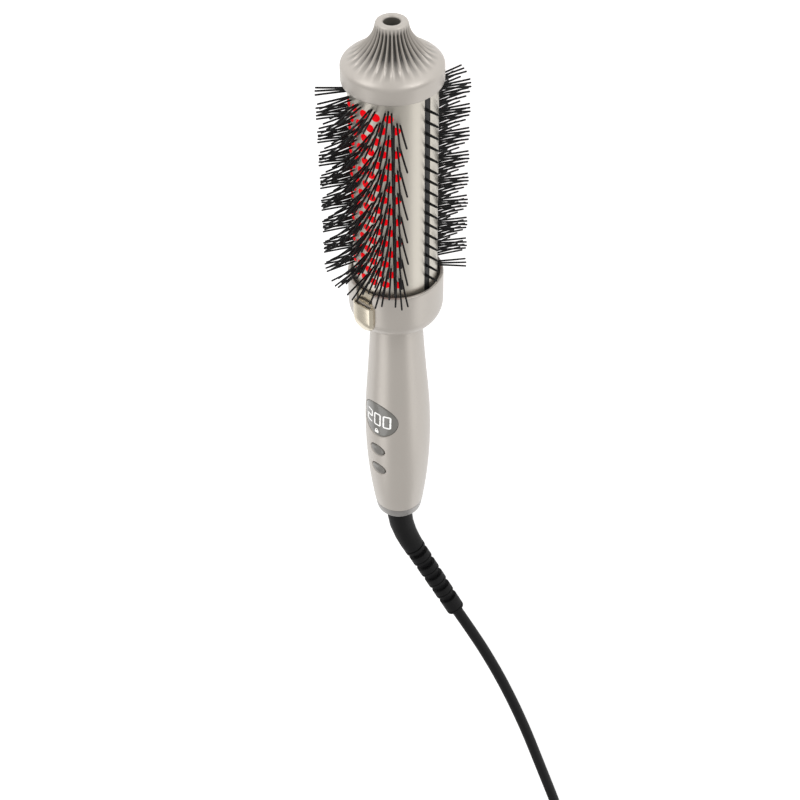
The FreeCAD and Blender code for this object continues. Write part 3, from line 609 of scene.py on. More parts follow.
FLOOR_START = Vector((-0.140458, 0.0, 0.0))
BOOT_ROUTE = [
    (-0.0115, 0.0002, 0.01035), (-0.0255, -0.0038, 0.0095), (-0.0390, -0.0112, 0.00885),
    (-0.0585, -0.0216, 0.0079), (-0.0785, -0.0323, 0.0069),
]
LEAD_ROUTE = [
    (-0.0945, -0.0408, 0.0054), (-0.1135, -0.0506, 0.0039), (-0.1390, -0.0628, 0.0032),
    (-0.1720, -0.0766, 0.00315), (-0.2080, -0.0893, 0.00315), (-0.2440, -0.1020, 0.00315),
    (-0.2760, -0.1125, 0.0032),
]
TAIL_ROUTE = [
    (-0.3558, -0.0750, 0.0084), (-0.3592, -0.0570, 0.0073), (-0.3595, -0.0405, 0.00695),
]
COIL_CENTRE = Vector((-0.308, -0.075, 0.0))
COIL_OUTER, COIL_INNER = 0.0461, 0.0275
COIL_START, COIL_STOP = -100.0, -154.9
COIL_LOW, COIL_HIGH = 0.0042, 0.0100
LAYER_TURNS = 3.0
POINTS_PER_TURN = 16
PLUG_PLACE = (
    Matrix.Translation(FLOOR_START + Vector((-0.3595, -0.0010, 0.0)))
    @ Matrix.Rotation(math.radians(90), 4, "Z")
)
PLUG_MIDDLE = 6.95


def coil_points():
    """Turns of the coil: a lower layer wound inwards, and an upper one wound outwards."""
    turns = 2 * LAYER_TURNS + (COIL_START - COIL_STOP) / 360.0
    count = round(turns * POINTS_PER_TURN)
    for k in range(count + 1):
        turn = turns * k / count
        share = 1 - turn / LAYER_TURNS
        if turn >= LAYER_TURNS:
            share = (turn - LAYER_TURNS) / (turns - LAYER_TURNS)
        radius = COIL_INNER + (COIL_OUTER - COIL_INNER) * share
        climb = min(max((turn - LAYER_TURNS + 0.3) / 0.6, 0.0), 1.0)
        angle = math.radians(COIL_START - 360.0 * turn)
        yield COIL_CENTRE + Vector((math.cos(angle) * radius, math.sin(angle) * radius,
                                    COIL_LOW + (COIL_HIGH - COIL_LOW) * climb))


def cord_route():
    """Every point of the cord's route, from the handle's end to the plug."""
    start = LYING @ Vector((0, 0, -0.0005)) - FLOOR_START
    route = [start, *BOOT_ROUTE, *LEAD_ROUTE, *coil_points(), *TAIL_ROUTE]
    return [FLOOR_START + Vector(point) for point in route]


def spline_object(name, points):
    """A curve object with one open NURBS spline."""
    data = bpy.data.curves.new(name, "CURVE")
    data.dimensions = "3D"
    data.resolution_u = 8
    spline = data.splines.new("NURBS")
    spline.points.add(len(points) - 1)
    for control, point in zip(spline.points, points):
        control.co = (*point, 1.0)
    spline.order_u = 3
    spline.use_endpoint_u = True
    return linked(name, data)


class Line:
    """The line of a curve without a bevel, which can be walked by its length."""

    def __init__(self, curve):
        mesh = bpy.data.meshes.new_from_object(curve)
        self.points = [vertex.co.copy() for vertex in mesh.vertices]
        bpy.data.meshes.remove(mesh)
        self.marks = [0.0]
        for near, far in zip(self.points, self.points[1:]):
            self.marks.append(self.marks[-1] + (far - near).length)

    def at(self, distance):
        """Place and direction at a distance from the start."""
        k = next(k for k, mark in enumerate(self.marks[1:]) if distance <= mark)
        near, far = self.points[k], self.points[k + 1]
        share = (distance - self.marks[k]) / (self.marks[k + 1] - self.marks[k])
        return near.lerp(far, share), (far - near).normalized()


def boot_profile():
    """Radius of the strain relief along its length, as (distance, radius) in millimetres."""
    core = 3.5
    profile = [(0.0, 6.0), (0.0, 6.55), (0.7, 6.7), (8.0, 6.62), (16.0, 6.42), (24.0, 6.1),
               (30.0, 5.9), (34.0, 5.72), (34.15, 5.2), (34.65, 5.2), (34.8, 5.8), (36.5, 5.75),
               (36.8, 5.5), (36.9, core)]
    start, pitch, thick, groove, discs = 39.6, 9.1, 5.4, 0.4, 5
    for k in range(discs):
        near, radius = start + pitch * k, 5.55 - 0.12 * k
        far = near + thick + (4.0 if k == discs - 1 else 0.0)
        profile += [
            (near, core), (near, radius - 0.12), (near + 0.12, radius),
            (far - 1.9, radius), (far - 1.8, radius - groove), (far - 1.5, radius - groove),
            (far - 1.4, radius), (far - 0.12, radius), (far, radius - 0.12), (far, core),
        ]
    return [*profile, (far + 0.3, 3.15)]


class BRUSH_OT_cord(bpy.types.Operator):
    """Lays the mains cord: strain relief, lead, coil with its tie, and the tail to the plug"""

    bl_idname = "brush.cord"
    bl_label = "Cord"

    def execute(self, context):
        sizes = context.scene.brush_cord
        tint = context.scene.brush_finishes.rubber
        cord = spline_object("mains_cord", cord_route())
        line = Line(cord)
        cord.data.bevel_depth = sizes.cord_diameter / 2
        cord.data.bevel_resolution = 5
        cord.data.use_fill_caps = True
        cord.data.materials.append(rubber("cord_sheath", tint))
        settle(cord, "cord", ["power_cord", "cord_coil", "plug_lead"])
        self.strain_relief(line, tint)
        self.tie()
        self.plug(tint)
        self.pins()
        return {"FINISHED"}

    def strain_relief(self, line, tint):
        """Smooth bent sleeve with a flange, then grooved discs on a thin core."""
        rings = []
        for distance, radius in boot_profile():
            place, way = line.at(max(distance, 0.01) * MM)
            across = way.cross(Z).normalized()
            top = across.cross(way).normalized()
            rings.append(oval(place / MM, across, top, radius, radius, 56))
        return add_piece("strain_relief", Shape().skin(rings), rubber("boot_rubber", tint, 0.5),
                         ["cord_boot"], 38.0, "cord", Matrix.Identity(4))

    def tie(self):
        """A strap round the coil's bundle, closed on itself."""
        turn, half, height, thick, width = 36.8, 14.0, 13.6, 0.9, 4.4
        middle = height / 2
        outline = fillet(
            [(-half, 0.1, 3.5), (half, 0.1, 3.5), (half, height, 5.5), (-half, height, 5.5)], 8
        )
        rings = [
            [Vector((turn + x * (1 - inset / half), across * (1 if inset else 0.96),
                     middle + (z - middle) * (1 - inset / middle))) for x, z in outline]
            for across, inset in ((-width, 0.3), (-width, 0.0), (width, 0.0), (width, 0.3),
                                  (width, thick), (-width, thick))
        ]
        place = (Matrix.Translation(FLOOR_START + COIL_CENTRE)
                 @ Matrix.Rotation(math.radians(-25), 4, "Z"))
        return add_piece("coil_strap", Shape().skin([*rings, rings[0]], capped=False),
                         rubber("strap_rubber", (0.02, 0.02, 0.021), 0.6),
                         ["cord_tie"], body="cord", place=place)

    def plug(self, tint):
        """The plug's body: flat face, drawn-in grip with ridges, and a tapered tail."""
        rows = [(0.0, 16.3, 5.9), (-0.35, 17.2, 6.55), (-1.2, 17.6, 6.85), (-8.5, 17.5, 6.85),
                (-10.2, 17.1, 6.85)]
        for k in range(18):
            half = 16.7 + (10.6 - 16.7) * (k / 17) ** 0.9
            groove = 0.55 if k % 3 == 1 else 0.0
            rows.append((-11.0 - k * 0.8, half - groove, 6.85 - groove))
        rows += [(-26.5, 9.3, 6.6), (-30.0, 7.6, 6.2), (-33.5, 6.5, 5.8), (-36.0, 5.9, 5.4),
                 (-36.5, 4.8, 4.6), (-39.0, 4.6, 4.4), (-39.3, 4.2, 4.1), (-43.4, 3.6, 3.6),
                 (-43.5, 3.1, 3.1)]
        shape = Shape().skin([self.plug_section(*row) for row in rows])
        return add_piece("plug_shell", shape, rubber("plug_plastic_finish", tint, 0.42),
                         ["plug_body"], 40.0, "cord", PLUG_PLACE)

    def plug_section(self, x, half, thick):
        """One rounded section of the plug's body, squarer towards its face."""
        power = 3.2 if x > -24 else max(2.0, 3.2 + (x + 24) * 0.1)
        return [
            Vector((x, math.copysign(abs(c) ** (2 / power), c) * half,
                    PLUG_MIDDLE + math.copysign(abs(s) ** (2 / power), s) * thick))
            for c, s in circle(48)
        ]

    def pins(self):
        """Two round pins with insulated roots and domed ends."""
        shape = Shape()
        for side in (-9.3, 9.3):
            shape.skin([
                oval(Vector((x, side, PLUG_MIDDLE)), Y, Z, radius, radius, 24)
                for x, radius in ((-0.2, 1.95), (9.6, 1.95), (9.65, 2.0), (16.6, 2.0),
                                  (17.5, 1.7), (17.95, 1.0), (18.0, 0.3))
            ])
        return add_piece("plug_pin_pair", shape,
                         bright_plating("pin_nickel", (0.78, 0.76, 0.72), 0.16),
                         ["plug_pins"], 40.0, "cord", PLUG_PLACE)


# ---- head

RIM_HEIGHT = 284.0
CAP_RADIUS_TABLE = [
    (0.9, 6.72), (1.6, 6.92), (2.8, 7.12), (4.2, 7.5), (5.8, 8.15), (7.6, 9.15), (9.4, 10.45),
    (11.2, 12.05), (12.8, 13.7), (14.2, 15.35), (15.5, 17.05), (16.6, 18.65), (17.6, 20.0),
    (18.3, 20.75), (18.9, 21.2), (19.6, 21.42), (20.3, 21.45),
]
GROOVE_TABLE = [
    (1.1, 0.0), (2.0, 0.35), (3.4, 0.75), (5.6, 1.1), (8.0, 1.5), (10.4, 1.8), (12.2, 1.75),
    (13.6, 1.4), (14.8, 0.9), (15.8, 0.42), (16.8, 0.1), (17.4, 0.0),
]
RIDGE_SHARPNESS = 2.2
CAP_STEPS = 46


class BRUSH_OT_cap(bpy.types.Operator):
    """Makes the trumpet-shaped cap with its fading ribs and its blind hole, with painted shade in
    its grooves and a dark sheet of painted shade lining the hole
    """

    bl_idname = "brush.cap"
    bl_label = "Ribbed cap"

    def execute(self, context):
        ribs = context.scene.brush_head.rib_count
        radius = context.scene.brush_head.cap_radius / MM
        shape = Shape().skin([self.ring(ribs, *row) for row in self.profile(radius)])
        tint = context.scene.brush_finishes.shell
        # the cap's finish paints shade into the grooves between its ribs
        add_piece("ribbed_cap", shape, pearl_plastic("cap_pearl", tint, 0.42, ribs),
                  ["cool_tip"], 50.0)
        # a thin dark sheet on the blind hole's wall and floor: painted shade that darkens the hole
        bore = [(3.48, 0.75), (3.48, 12.1), (0.5, 12.1), (0.5, 11.6), (3.2, 11.6), (3.3, 0.9)]
        bore_shade_sheet = Shape().turned([(edge, RIM_HEIGHT - below) for edge, below in bore], 48)
        add_piece("cap_bore_shade_sheet", bore_shade_sheet, moulded_plastic("bore_painted_shade", (0.12, 0.113, 0.1)))
        return {"FINISHED"}

    def profile(self, radius):
        """The cap's outline: (radius on a rib, depth below the rim, depth of the grooves)."""
        rows = [(0.05, 12.2), (3.35, 12.2), (3.5, 12.0), (3.5, 0.9), (3.7, 0.35), (4.15, 0.05),
                (4.7, 0.0), (5.4, 0.02), (6.0, 0.15), (6.45, 0.45)]
        profile = [(*row, 0.0) for row in rows]
        top, foot = CAP_RADIUS_TABLE[0][0], CAP_RADIUS_TABLE[-1][0]
        for k in range(CAP_STEPS + 1):
            below = top + (foot - top) * k / CAP_STEPS
            profile.append((smoothed(CAP_RADIUS_TABLE, below), below,
                            max(smoothed(GROOVE_TABLE, below), 0.0)))
        rows = [(radius, 23.0), (radius, 25.6), (radius - 0.08, 25.95), (radius - 0.3, 26.15),
                (radius - 0.6, 26.2), (19.7, 26.2), (19.5, 26.0), (19.5, 20.0), (0.05, 20.0)]
        return profile + [(*row, 0.0) for row in rows]

    def ring(self, ribs, edge, below, depth):
        """One level of the cap, with narrow ridges between its grooves."""
        segments = ribs * 14
        ring = []
        for k in range(segments):
            ridge = (0.5 + 0.5 * math.cos(math.tau * ribs * k / segments)) ** RIDGE_SHARPNESS
            ring.append(polar(360.0 * k / segments, edge - depth * (1 - ridge),
                              RIM_HEIGHT - below))
        return ring


class BRUSH_OT_barrel(bpy.types.Operator):
    """Makes the two halves of the heated barrel, parted by the comb slots"""

    bl_idname = "brush.barrel"
    bl_label = "Barrel"

    def execute(self, context):
        outer = context.scene.brush_head.barrel_radius / MM
        inner, low, high, steps = outer - 1.0, 143.0, 264.0, 120
        gap = math.degrees(1.75 / outer)
        shape = Shape()
        for first in COMB_AZIMUTHS:
            rings = []
            for k in range(steps + 1):
                azimuth = first + gap + (180.0 - 2 * gap) * k / steps
                edge = outer - (0.12 if k in (0, steps) else 0.0)
                corners = ((edge, low), (edge, high), (inner, high), (inner, low))
                rings.append([polar(azimuth, *corner) for corner in corners])
            shape.skin(rings)
        tint = context.scene.brush_finishes.barrel
        add_piece("heated_barrel", shape, drawn_metal("barrel_coating", tint),
                  ["barrel_tube"])
        return {"FINISHED"}


BARREL_SKIN = 19.0
TUFT_START, TUFT_STEP, TUFT_COLUMNS = -46.2, 10.43, 10
WINDOW_START, WINDOW_STEP, WINDOW_COLUMNS = -46.2, 8.4, 12
TUFT_PITCH = 11.5
TUFT_COUNT = 9
FIRST_TUFT = 160.85
TOP_TUFT = FIRST_TUFT + TUFT_PITCH * (TUFT_COUNT - 1)
WINDOW_DROP = 2.5
WINDOW_LOWEST = 164.0
SPLAY_AT_ROOT = 3.9
SPLAY_AT_TIP = 4.9
RAIL_SECTION = [(-1.3, 16.9), (1.3, 16.9), (1.3, 17.6), (1.15, 17.75), (-1.15, 17.75),
                (-1.3, 17.6)]


def staggered(start, step, count):
    """Each column's azimuth and heights: neighbours are staggered by half a pitch."""
    for column in range(count):
        shift = column % 2
        heights = [FIRST_TUFT + TUFT_PITCH * (k + shift / 2) for k in range(TUFT_COUNT - shift)]
        yield start + step * column, heights


class BRUSH_OT_bristles(bpy.types.Operator):
    """Makes the tufts of three nylon bristles, with the rails that carry them"""

    bl_idname = "brush.bristles"
    bl_label = "Bristles"

    def execute(self, context):
        sizes = context.scene.brush_head
        material = nylon("bristle_nylon_finish", context.scene.brush_finishes.nylon)
        for field, side in zip(FIELD_AZIMUTHS, ("front", "rear")):
            chance = random.Random(side)
            shape = Shape()
            for azimuth, heights in staggered(field + TUFT_START, TUFT_STEP, TUFT_COLUMNS):
                shape.strip(azimuth, RAIL_SECTION, 159.6, 258.5)
                if side == "front" and len(heights) == TUFT_COUNT:
                    heights = heights[1:]
                elif azimuth > 130:
                    heights = heights[:-1]
                for height in heights:
                    for way in (-1, 0, 1):
                        self.bristle(shape, sizes, azimuth, way, height, chance)
            add_piece(f"bristles_{side}", shape, material,
                      [f"bristle_rows_{side}"], 60.0)
        return {"FINISHED"}

    def droop(self, azimuth, height, way):
        """How far a tip stands towards the handle: more at the front, and the rows fan out."""
        share = (TOP_TUFT - height) / (TOP_TUFT - FIRST_TUFT)
        if azimuth > 45:
            return 1.8 * (share - 1.0)
        facing = max(math.cos(math.radians(azimuth)), 0.0)
        return 0.5 + 1.4 * share + facing * (1.6 + share + (1.7 if way == 0 else 0.0))

    def bristle(self, shape, sizes, azimuth, way, height, chance):
        """One bristle: a thin tapered rod with a rounded tip and a trace of a bend."""
        reach = sizes.bristle_reach / MM - 0.1 - abs(chance.gauss(0, 0.08))
        thick = sizes.bristle_thickness / MM / 2
        root = way * SPLAY_AT_ROOT
        spread = way * SPLAY_AT_TIP + chance.gauss(0, 0.18) - root
        bend = chance.gauss(0, 0.1)
        sag = self.droop(azimuth, height, way) + chance.gauss(0, 0.06)
        if way == 0:
            lead = max(math.cos(math.radians(azimuth)), 0.0)
            height, sag = height + lead, sag + lead
        rings = []
        for radius, share in ((17.2, 1.0), (19.0, 1.0), (23.5, 0.98), (28.0, 0.95),
                              (reach - 0.35, 0.92), (reach - 0.1, 0.7), (reach, 0.25)):
            along = max(radius - BARREL_SKIN, 0.0) / (reach - BARREL_SKIN)
            swing = azimuth + root + spread * along + bend * along * (1 - along)
            rings.append(oval(polar(swing, radius, height - sag * along), polar(swing + 90, 1.0),
                              Z, thick * share, thick * share, 7))
        shape.skin(rings)


class BRUSH_OT_windows(bpy.types.Operator):
    """Makes the red infrared windows between the tufts, as low domes"""

    bl_idname = "brush.windows"
    bl_label = "Infrared windows"

    def execute(self, context):
        material = glowing_window("infrared_glow", context.scene.brush_finishes.window)
        radius = context.scene.brush_head.window_radius / MM
        for field, side in zip(FIELD_AZIMUTHS, ("front", "rear")):
            shape = Shape()
            columns = list(staggered(field + WINDOW_START, WINDOW_STEP, WINDOW_COLUMNS))
            for azimuth, heights in columns[2:]:
                for height in heights:
                    if height - WINDOW_DROP > WINDOW_LOWEST:
                        self.window(shape, azimuth, height - WINDOW_DROP, radius)
            add_piece(f"windows_{side}", shape, material,
                      [f"infrared_windows_{side}"], 50.0)
        return {"FINISHED"}

    def window(self, shape, azimuth, height, radius):
        """A round lens that stands a little proud of the barrel's curve."""
        shape.skin([
            [beside(azimuth, x, math.sqrt(skin**2 - x**2), height + z)
             for x, z in ((radius * share * c, radius * share * s) for c, s in circle(20))]
            for share, skin in ((1.0, 18.8), (1.0, 19.08), (0.93, 19.2), (0.75, 19.3),
                                (0.45, 19.38), (0.1, 19.41))
        ])


class BRUSH_OT_combs(bpy.types.Operator):
    """Makes the two comb strips with their rows of blunt teeth"""

    bl_idname = "brush.combs"
    bl_label = "Comb strips"

    def execute(self, context):
        tint = shade(context.scene.brush_finishes.nylon, 1.3)
        material = moulded_plastic("comb_plastic_finish", tint, 0.4)
        section = fillet([(-1.7, 16.9), (1.7, 16.9), (1.7, 18.65, 0.3), (-1.7, 18.65, 0.3)], 3)
        first, pitch, teeth = 164.1, 5.75, 16
        for azimuth, side in zip(COMB_AZIMUTHS, ("right", "left")):
            shape = Shape().strip(azimuth, section, 152.0, 263.0)
            for k in range(teeth):
                self.tooth(shape, azimuth, first + pitch * k)
            add_piece(f"comb_{side}", shape, material, [f"comb_strip_{side}"],
                      45.0)
        return {"FINISHED"}

    def tooth(self, shape, azimuth, height):
        """A tapered tooth with a rounded end."""
        shape.skin([
            oval(polar(azimuth, radius, height), polar(azimuth + 90, 1.0), Z, wide, tall, 12)
            for radius, wide, tall in ((18.3, 0.68, 0.95), (18.8, 0.62, 0.75), (21.0, 0.58, 0.6),
                                       (23.9, 0.5, 0.5), (24.5, 0.4, 0.4), (24.8, 0.15, 0.15))
        ])


class BRUSH_OT_collar(bpy.types.Operator):
    """Makes the collar, and the dark ring that seals it to the barrel"""

    bl_idname = "brush.collar"
    bl_label = "Collar"

    def execute(self, context):
        edge = context.scene.brush_head.collar_radius / MM
        turns = [math.radians(90 * k / 16) for k in range(17)]
        bowl = [(12.15 + 9.75 * math.sin(a) ** 0.92, 142.2 - 10.6 * math.cos(a) ** 0.94)
                for a in turns]
        profile = [
            *bowl, (edge, 144.0), (edge, 150.0), (edge, 156.8), (edge - 0.05, 157.4),
            (edge - 0.2, 157.8), (edge - 0.5, 158.0), (edge - 1.2, 158.0), (edge - 1.5, 157.85),
            (edge - 1.65, 157.5), (20.2, 152.0), (20.2, 142.0), (17.3, 136.2), (13.5, 133.2),
            (12.1, 131.0),
        ]
        pearl = pearl_plastic("collar_pearl", context.scene.brush_finishes.shell)
        collar = add_piece("collar_shell", Shape().turned(profile, 192), pearl,
                           ["barrel_collar"], 40.0)
        carve(collar, Shape().block(4.75, 19.0, 30.0, 150.8, 160.0))
        ring = fillet([(19.06, 152.5), (20.15, 152.5), (20.15, 156.4, 0.25), (19.06, 156.4, 0.25)])
        seal = moulded_plastic("seal_plastic", (0.05, 0.048, 0.045), 0.5)
        add_piece("barrel_seal", Shape().turned(ring), seal, ["collar_insert"])
        return {"FINISHED"}


class BRUSH_OT_ion_outlet(bpy.types.Operator):
    """Makes the plated shield of the ion outlet, open at its top, with dark sheets of painted
    shade in its mouth
    """

    bl_idname = "brush.ion_outlet"
    bl_label = "Ion outlet"

    def execute(self, context):
        tint = context.scene.brush_finishes.plating
        foot, top, steps = 136.5, 150.9, 22
        levels = [self.section(foot + (top - foot) * k / steps) for k in range(steps + 1)]
        shield = Shape().skin([*levels, self.section(151.2, 0.25)])
        piece = add_piece("ion_shield", shield, bright_plating("ion_plating", tint, 0.14),
                          ["ion_outlet_bezel"], 24.0)
        carve(piece, Shape().block(4.6, 20.9, 23.1, 143.0, 155.0))
        # thin near-black sheets on the mouth's back and floor: painted shade that darkens the
        # opening
        mouth_shade_sheets = Shape().block(4.55, 20.95, 21.1, 143.2, 150.6)
        mouth_shade_sheets.block(4.55, 20.95, 23.05, 143.05, 143.4)
        add_piece("ion_mouth_shade_sheet", mouth_shade_sheets, moulded_plastic("mouth_painted_shade", (0.012, 0.011, 0.01)))
        add_piece("ion_back_wall", Shape().block(4.7, 19.6, 20.6, 150.9, 157.2),
                  bright_plating("ion_back_plating", shade(tint, 0.9), 0.2),
                  sharp=24.0)
        dress(bright_plating("needle_steel", (0.6, 0.6, 0.58), 0.25), "ion_needle")
        return {"FINISHED"}

    def section(self, height, inset=0.0):
        """One level of the shield: foot to face, with bevelled sides."""
        half, face = 5.9 - inset, 24.0 - inset
        if height <= 143.5:
            half = 2.6 + 3.3 * math.sqrt(max(0.0, 1 - ((143.5 - height) / 6.95) ** 2)) - inset
        if height <= 142.2:
            face -= 0.042 * (142.2 - height) ** 2
        bevel = min(1.25, half * 0.4)
        side = [(-half, 19.8), (-half, face - 1.45), (-half + bevel, face - 0.35),
                (-half * 0.35, face)]
        return [beside(CONTROL_AZIMUTH, x, out, height)
                for x, out in (*side, *((-x, out) for x, out in reversed(side)))]


# ---- handle

ARC_RADIUS = 355.0
BELLY_HEIGHT = 57.0
JOIN_LOW, JOIN_HIGH = 82.0, 108.0
NECK_HEIGHT, NECK_SLOPE = 130.5, -0.0622
HANDLE_FOOT = 5.5
POCKET_FLOOR = 6.0
CONTROLS = {
    "display": (72.8, 10.42, 10.42),
    "power_button": (51.9, 4.42, 3.47),
    "mode_button": (38.0, 4.42, 3.47),
}


def handle_radius(height, sizes):
    """The handle's skin: one long curve that runs smoothly into a straight neck."""
    belly, neck = sizes.belly_radius / MM, sizes.neck_radius / MM

    def curve(at):
        root = math.sqrt(ARC_RADIUS**2 - (at - BELLY_HEIGHT) ** 2)
        return belly - ARC_RADIUS + root, -(at - BELLY_HEIGHT) / root

    if height <= JOIN_LOW:
        return curve(height)[0]
    if height >= JOIN_HIGH:
        return neck + (height - NECK_HEIGHT) * NECK_SLOPE
    span = JOIN_HIGH - JOIN_LOW
    return hermite((height - JOIN_LOW) / span, span, *curve(JOIN_LOW),
                   neck + (JOIN_HIGH - NECK_HEIGHT) * NECK_SLOPE, NECK_SLOPE)


def on_skin(across, height, lift, sizes):
    """A place on the handle's skin by the controls, lifted off it."""
    skin = handle_radius(height, sizes) + lift
    return beside(CONTROL_AZIMUTH, across, math.sqrt(skin**2 - across**2), height)


def skin_ring(middle, wide, tall, lift, sizes, count):
    """An oval that lies on the handle's skin."""
    return [on_skin(wide * c, middle + tall * s, lift, sizes) for c, s in circle(count)]


def pad_on_skin(middle, wide, tall, rows, sizes, count=72):
    """A pad that follows the handle's skin: rows of (share of its size, lift off the skin)."""
    return Shape().skin([skin_ring(middle, wide * share, tall * share, lift, sizes, count)
                         for share, lift in rows])


class BRUSH_OT_handle(bpy.types.Operator):
    """Makes the handle's sleeve with its pockets for the window and the buttons"""

    bl_idname = "brush.handle"
    bl_label = "Handle"

    def execute(self, context):
        sizes = context.scene.brush_handle
        steps = 110
        heights = [HANDLE_FOOT + (NECK_HEIGHT - HANDLE_FOOT) * k / steps for k in range(steps + 1)]
        outer = [(handle_radius(z, sizes), z) for z in heights]
        outer[0] = (outer[0][0] - 0.12, HANDLE_FOOT + 0.02)
        outer.insert(1, (handle_radius(HANDLE_FOOT + 0.25, sizes), HANDLE_FOOT + 0.25))
        inner = [(radius - 2.3, z) for radius, z in reversed(outer[::6])]
        pearl = pearl_plastic("handle_pearl", context.scene.brush_finishes.shell)
        sleeve = add_piece("handle_shell", Shape().turned([*outer, *inner], 180), pearl,
                           ["handle_sleeve"], 40.0)
        carve(sleeve, *(self.pocket(*control, sizes) for control in CONTROLS.values()))
        self.smooth_skin(sleeve.data, sizes)
        return {"FINISHED"}

    def pocket(self, middle, wide, tall, sizes):
        """A cutter whose mouth flares at the skin, so that the pocket gets a soft edge."""
        rings = [
            skin_ring(middle, wide * share + grow, tall * share + grow, lift, sizes, 96)
            for share, grow, lift in ((0.3, 0.0, 2.5), (0.7, 0.5, 1.8), (1.0, 1.5, 1.0),
                                      (1.0, 0.62, 0.04), (1.0, 0.1, -0.34), (1.0, 0.0, -0.6))
        ]
        floor = [beside(CONTROL_AZIMUTH, wide * c, POCKET_FLOOR, middle + tall * s)
                 for c, s in circle(96)]
        return Shape().skin([*rings, floor])

    def smooth_skin(self, mesh, sizes):
        """Normals of the smooth skin for the faces on it, and flat ones for the cuts."""
        standing, turned = LYING.inverted(), LYING.to_3x3()
        normals = [Z] * len(mesh.loops)
        for face in mesh.polygons:
            way = standing.to_3x3() @ face.normal
            middle = standing @ face.center / MM
            for loop in face.loop_indices:
                point = standing @ mesh.vertices[mesh.loops[loop].vertex_index].co / MM
                normals[loop] = turned @ self.skin_normal(point, middle, way, sizes)
        mesh.normals_split_custom_set(normals)

    def skin_normal(self, point, middle, way, sizes):
        """The skin's own normal at a corner of a face that lies on it, or else the face's."""
        out = Vector((point.x, point.y, 0.0)).normalized()
        level = math.hypot(middle.x, middle.y) - handle_radius(middle.z, sizes)
        if abs(level) > 0.05 or way.dot(out) < 0.8:
            return way
        slope = (handle_radius(point.z + 0.1, sizes) - handle_radius(point.z - 0.1, sizes)) / 0.2
        return (out - Z * slope).normalized()


SEGMENT_LINES = {
    "a": ((0, 2), (1, 2)), "b": ((1, 2), (1, 1)), "c": ((1, 1), (1, 0)), "d": ((0, 0), (1, 0)),
    "e": ((0, 1), (0, 0)), "f": ((0, 2), (0, 1)), "g": ((0, 1), (1, 1)),
}
DIGITS = {"2": "abged", "0": "abcdef"}
SIGN_LOW, SIGN_HIGH = -0.12, -0.04


class BRUSH_OT_display(bpy.types.Operator):
    """Makes the smoked window with its temperature digits and lock sign"""

    bl_idname = "brush.display"
    bl_label = "Display"

    def execute(self, context):
        sizes = context.scene.brush_handle
        radius = sizes.lens_radius / MM
        rows = [(1.0, -1.5), (1.0, -0.42), (0.99, -0.28), (0.97, -0.2), (0.93, -0.16)]
        rows += [(0.84 - 0.09 * k, -0.14) for k in range(9)]
        lens = pad_on_skin(CONTROLS["display"][0], radius, radius, [*rows, (0.02, -0.14)], sizes)
        add_piece("display_window", lens, smoked_glass("smoked_window", (0.20, 0.195, 0.18)),
                  ["display_lens"], 60.0)
        signs = Shape()
        for k, text in enumerate("200"):
            self.digit(signs, text, -6.4 + 5.2 * k, 69.75, 3.4, 7.2, sizes)
        self.lock(signs, 0.1, 64.3, sizes)
        add_piece("display_signs", signs, lit_segment("display_white", (0.95, 0.95, 0.93)),
                  sharp=60.0)
        return {"FINISHED"}

    def bar(self, shape, start, stop, wide, sizes):
        """A lit bar on the window between two places, bent round the handle with it."""
        along = (stop - start).normalized()
        across = Vector((-along.y, along.x)) * wide / 2
        stations = [(start - along * wide / 2, 0.1),
                    *((start.lerp(stop, k / 5), 1.0) for k in range(6)),
                    (stop + along * wide / 2, 0.1)]
        corners = ((-1, SIGN_LOW), (1, SIGN_LOW), (1, SIGN_HIGH), (-1, SIGN_HIGH))
        shape.skin([
            [on_skin(*(middle + across * (share * way)), lift, sizes) for way, lift in corners]
            for middle, share in stations
        ])

    def digit(self, shape, text, left, low, wide, tall, sizes):
        """A digit of seven-segment bars."""
        for name in DIGITS[text]:
            start, stop = (
                Vector((left + x * wide, low + y * tall / 2)) for x, y in SEGMENT_LINES[name]
            )
            inward = (stop - start).normalized() * 0.32
            self.bar(shape, start + inward, stop - inward, 0.78, sizes)

    def lock(self, shape, middle, low, sizes):
        """A small padlock sign: a body and a shackle."""
        body = fillet([(-1.15, 0, 0.25), (1.15, 0, 0.25), (1.15, 1.5, 0.25), (-1.15, 1.5, 0.25)],
                      3)
        shape.skin([[on_skin(middle + x, low + y, lift, sizes) for x, y in body]
                    for lift in (SIGN_LOW, SIGN_HIGH)])
        points = [Vector((middle + 0.75 * math.cos(a), low + 1.6 + math.sin(a)))
                  for a in (math.pi * k / 6 for k in range(7))]
        for near, far in zip(points, points[1:]):
            self.bar(shape, near, far, 0.4, sizes)


class BRUSH_OT_buttons(bpy.types.Operator):
    """Makes the two oval buttons, which ride on their own bodies"""

    bl_idname = "brush.buttons"
    bl_label = "Buttons"

    def execute(self, context):
        sizes = context.scene.brush_handle
        wide, tall = sizes.button_half_width / MM, sizes.button_half_height / MM
        rows = ((1.0, -2.4), (1.0, -0.35), (0.98, -0.2), (0.93, -0.08), (0.84, -0.03),
                (0.5, -0.12), (0.03, -0.16))
        material = smoked_glass("button_smoke", (0.17, 0.16, 0.145))
        for name in ("power_button", "mode_button"):
            pad = pad_on_skin(CONTROLS[name][0], wide, tall, rows, sizes, 48)
            add_piece(f"{name}_cap", pad, material, [name], 60.0, name)
        return {"FINISHED"}


class BRUSH_OT_end_ring(bpy.types.Operator):
    """Makes the grey ring at the handle's end"""

    bl_idname = "brush.end_ring"
    bl_label = "End ring"

    def execute(self, context):
        outline = fillet([(6.08, 0.0, 0.3), (11.5, 0.0, 0.7), (12.42, 5.4, 0.25), (10.3, 5.4),
                          (10.3, 11.0), (6.08, 11.0)])
        satin = bright_plating("ring_satin", (0.33, 0.32, 0.31), 0.34)
        add_piece("end_ring_shell", Shape().turned(outline, 144), satin,
                  ["handle_end_ring"])
        return {"FINISHED"}


